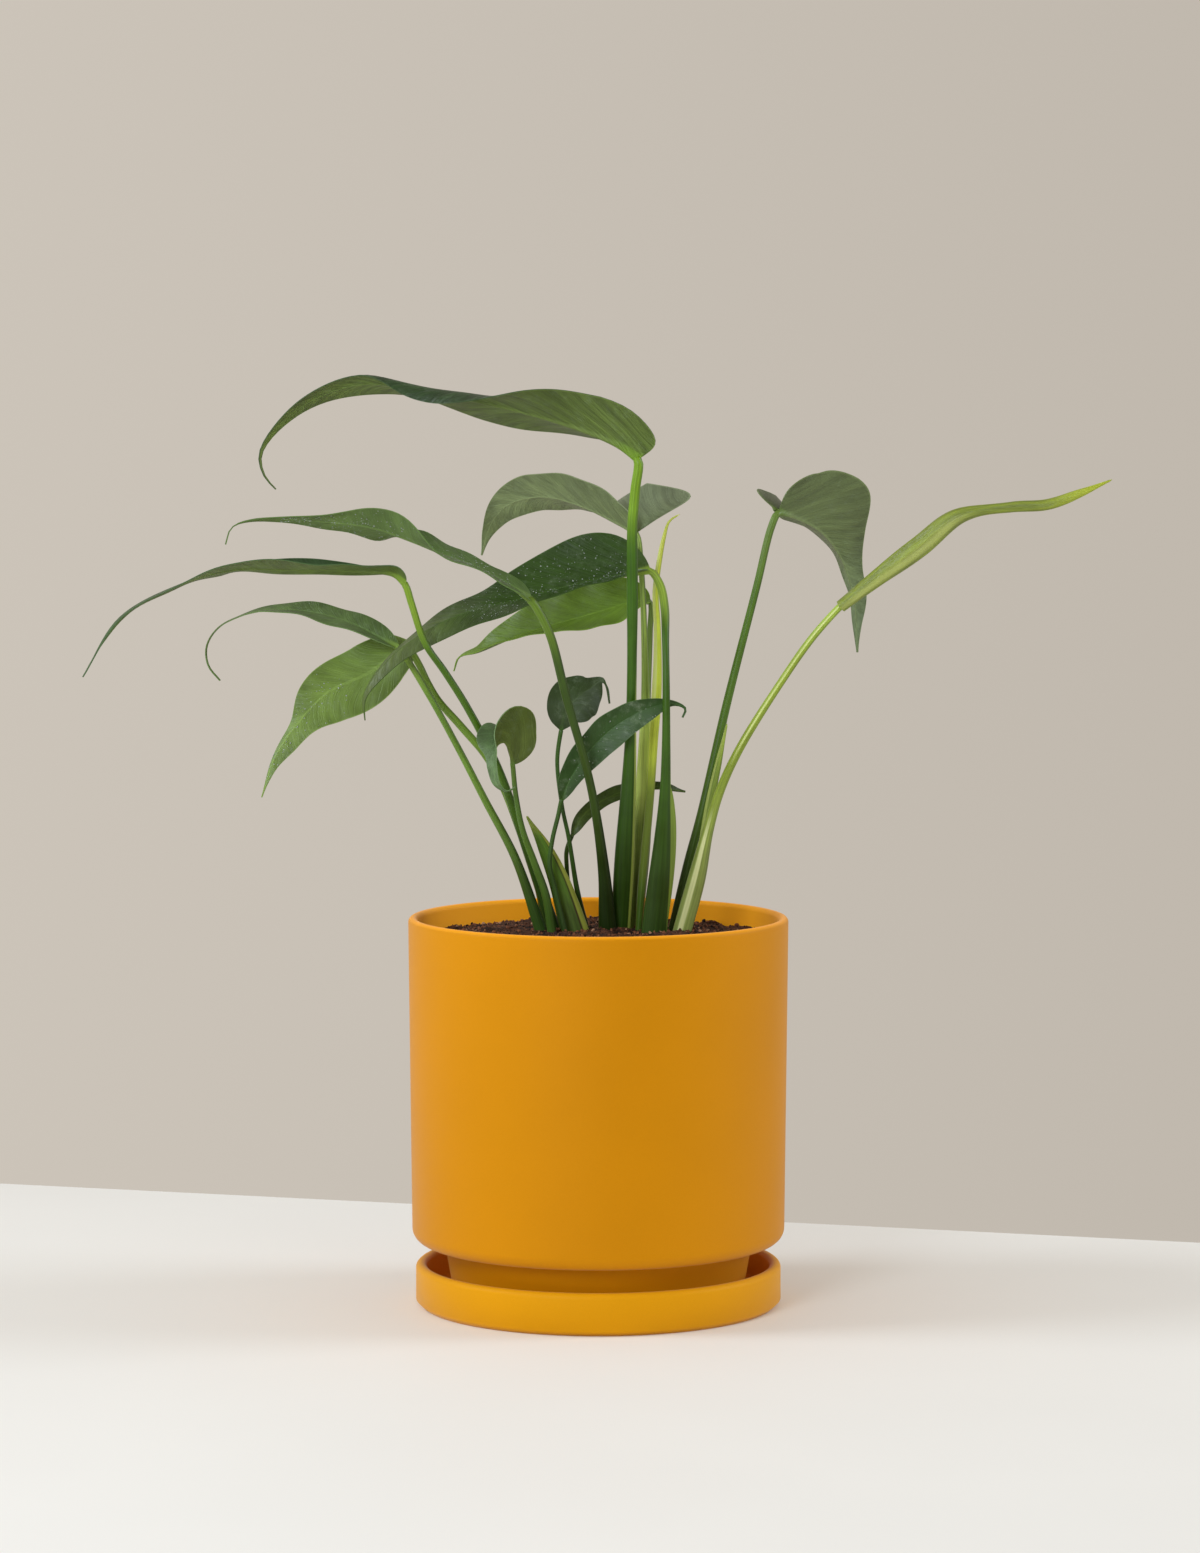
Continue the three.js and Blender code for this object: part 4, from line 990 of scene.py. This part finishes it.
def scatter(name, material, places, shapes, tones=None, sharp=40):
    """Copies of an icosahedron at the places, each stretched and turned by its own 3 by 3 shape."""
    corners, faces = icosahedron()
    points = np.concatenate([place + corners @ shape.T for place, shape in zip(places, shapes)])
    shifts = np.arange(len(places)) * len(corners)
    faces = (shifts[:, None, None] + faces).reshape(-1, 3).tolist()
    measures = {} if tones is None else {"tone": np.repeat(tones, len(corners))}
    piece = make_piece(name, points, faces, [material], measures, sharp)
    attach(piece, "root")
    return piece


def random_sizes(rng, count, limits, bias):
    """Sizes between two limits. The higher the bias, the more of them are small."""
    least, most = limits
    return least + (most - least) * rng.random(count) ** bias


def random_turn(rng):
    """A random rotation."""
    matrix, _ = np.linalg.qr(rng.normal(size=(3, 3)))
    return matrix


def build_crumbs():
    """Bark and grit strewn over the soil, as far as a small margin from the pot's wall."""
    rng = np.random.default_rng(5)
    reach = pot_inside(SOIL_LEVEL) - CRUMB_MARGIN
    radius = reach * np.sqrt(rng.random(CRUMB_COUNT))
    angle = 2 * np.pi * rng.random(CRUMB_COUNT)
    size = random_sizes(rng, CRUMB_COUNT, CRUMB_SIZE, 4)
    x = radius * np.cos(angle)
    y = radius * np.sin(angle)
    places = np.array([(a, b, soil_height(a, b) + CRUMB_LIFT * s) for a, b, s in zip(x, y, size)])
    shapes = [random_turn(rng) @ np.diag(s * rng.uniform(*CRUMB_STRETCH, 3)) for s in size]
    piece = scatter("soil_crumbs", crumb_material(), places, shapes, rng.random(CRUMB_COUNT))


def build_drops(name, leaf, material):
    """Drops of water strewn over stretches of a blade."""
    rng = np.random.default_rng(int(name[-2:]))
    grid = blade_grid(leaf)
    points = grid["place"]
    rows, wide = grid["reach"].shape
    places = []
    shapes = []
    for spot in leaf["drops"]:
        ends = (np.array(spot["along"]) ** (1 / ROW_BUNCHING) * (rows - 1)).astype(int)
        i = rng.integers(*ends, spot["count"])
        j = rng.integers(1, wide - 1, spot["count"])
        size = random_sizes(rng, spot["count"], DROP_SIZE, 3)
        shift = rng.uniform(0, 1, (spot["count"], 2))
        onward = (points[i + 1, j] - points[i, j]) * shift[:, :1]
        sideways = (points[i, j + 1] - points[i, j]) * shift[:, 1:]
        normal = grid["normal"][i, j] * spot["side"]
        places.extend(points[i, j] + onward + sideways + normal * (SHEET / 2 + DROP_LIFT))
        for axis, s in zip(normal, size):
            across = unit(np.cross(axis, [0.3, 0.5, 0.8]))
            shapes.append(np.column_stack([across, np.cross(axis, across), axis * DROP_FLATNESS]) * s)
    piece = scatter(name + "_drops", material, places, shapes, sharp=180)


def build_leaf(name, leaf, water):
    """A leaf's petiole, its blade, open or rolled, and the drops on it. A spear is all petiole."""
    spear = "rib" not in leaf and "roll" not in leaf
    node = name + ("_spear" if spear else "_petiole")
    skin = stalk_material(name + "_stem", leaf, STEM_ROUGHNESS)
    shape = {"flat": leaf.get("flat", [1]), "seam": SPEAR_SEAM if spear else 0, "wing": leaf.get("wing")}
    piece = stalk_piece(node, stalk_line(leaf), leaf["girth"], skin, **shape)
    stand_for(piece, node)
    if "roll" in leaf:
        node = name + "_rolled_blade"
        skin = roll_material(name + "_skin", leaf["rollTone"])
        piece = stalk_piece(node, leaf["roll"], leaf["rollGirth"], skin, buried=0, seam=ROLL_SEAM)
        stand_for(piece, node)
    if "rib" in leaf:
        node = name + "_blade"
        skins = [blade_material(name + "_" + side, leaf, side) for side in BLADE_SIDES]
        stand_for(blade_piece(node, leaf, skins), node)
    if "drops" in leaf:
        build_drops(name, leaf, water)


def build_plant():
    water = water_material()
    for name, leaf in LEAVES.items():
        build_leaf(name, leaf, water)
    for node, sheath in SHEATHS.items():
        skin = stalk_material(node + "_skin", sheath, SHEATH_ROUGHNESS)
        piece = stalk_piece(node, stalk_line(sheath), sheath["girth"], skin, sheath["flat"])
        stand_for(piece, node)


def build_pot():
    """The pot, the saucer and the soil. The glaze is painted lighter inside the pot, as painted light, and
    on its lip, as a painted highlight.
    """
    profile = pot_profile()
    heights = [z for _, z in profile]
    top = heights.index(max(heights))
    # The lip's top takes the inside's lighter glaze as a painted highlight
    lip_highlight = [min(max(z - POT_TOP + LIP_PAINTED_HIGHLIGHT, 0) / LIP_PAINTED_HIGHLIGHT, 1) for z in heights[:top]]
    inside = lip_highlight + [1] * (len(heights) - top)
    glaze = glaze_material("pot_glaze", POT_GLAZE)
    stand_for(turned_piece("pot", profile, glaze, inside), "pot")
    glaze = glaze_material("saucer_glaze", SAUCER_GLAZE)
    stand_for(turned_piece("saucer", saucer_profile(), glaze), "saucer")
    stand_for(soil_piece(), "soil")
    build_crumbs()


def build_stage():
    """A pale floor with a slanting far edge."""
    s = Shader("pale_table")
    cloud = s.noise(3, 3.0)
    color = s.shade(FLOOR, s.vary(cloud, 0.99, 1.01))
    roughness = s.vary(cloud, 0.6, 0.65)
    material = s.finish(color, roughness, cloud, 0.1, 0.2, Specular_IOR_Level=0.1)
    table = make_piece("table", FLOOR_CORNERS, [(0, 1, 2, 3)], [material])


def build_lights():
    """Round area lights that all look at the plant."""
    for name, (place, size, power) in LIGHTS.items():
        data = bpy.data.lights.new(name, "AREA")
        data.shape = "DISK"
        data.size = size
        data.energy = power
        data.color = COOL_LIGHT
        light = bpy.data.objects.new(name, data)
        light.location = place
        light.rotation_euler = (Vector(LIGHT_AIM) - Vector(place)).to_track_quat("-Z", "Y").to_euler()
        bpy.context.collection.objects.link(light)


def build_world():
    """A plain warm grey all round, a little brighter on the left."""
    world = bpy.data.worlds.new("studio")
    bpy.context.scene.world = world
    world.use_nodes = True
    nodes = Nodes(world.node_tree)
    direction = nodes.node("ShaderNodeTexCoord").outputs["Generated"]
    x = nodes.node("ShaderNodeSeparateXYZ", {0: direction}).outputs["X"]
    share = nodes.node("ShaderNodeMapRange", {0: x, 1: -GREY_REACH, 2: GREY_REACH}).outputs[0]
    color = nodes.blend(share, LEFT_GREY, RIGHT_GREY)
    nodes.feed(world.node_tree.nodes["Background"].inputs["Color"], color)


def build_camera():
    data = bpy.data.cameras.new("camera")
    data.sensor_width = SENSOR
    data.lens = SENSOR * FOCAL_PIXELS / PHOTO_HEIGHT
    data.clip_end = 50
    camera = bpy.data.objects.new("camera", data)
    camera.location = Vector(CAMERA_PLACE) * MM
    camera.rotation_euler = (math.radians(90 - CAMERA_TILT), 0, 0)
    bpy.context.collection.objects.link(camera)
    bpy.context.scene.camera = camera


build_camera()
build_stage()
build_lights()
build_world()
build_pot()
build_plant()
bpy.context.scene.view_settings.view_transform = "Standard"
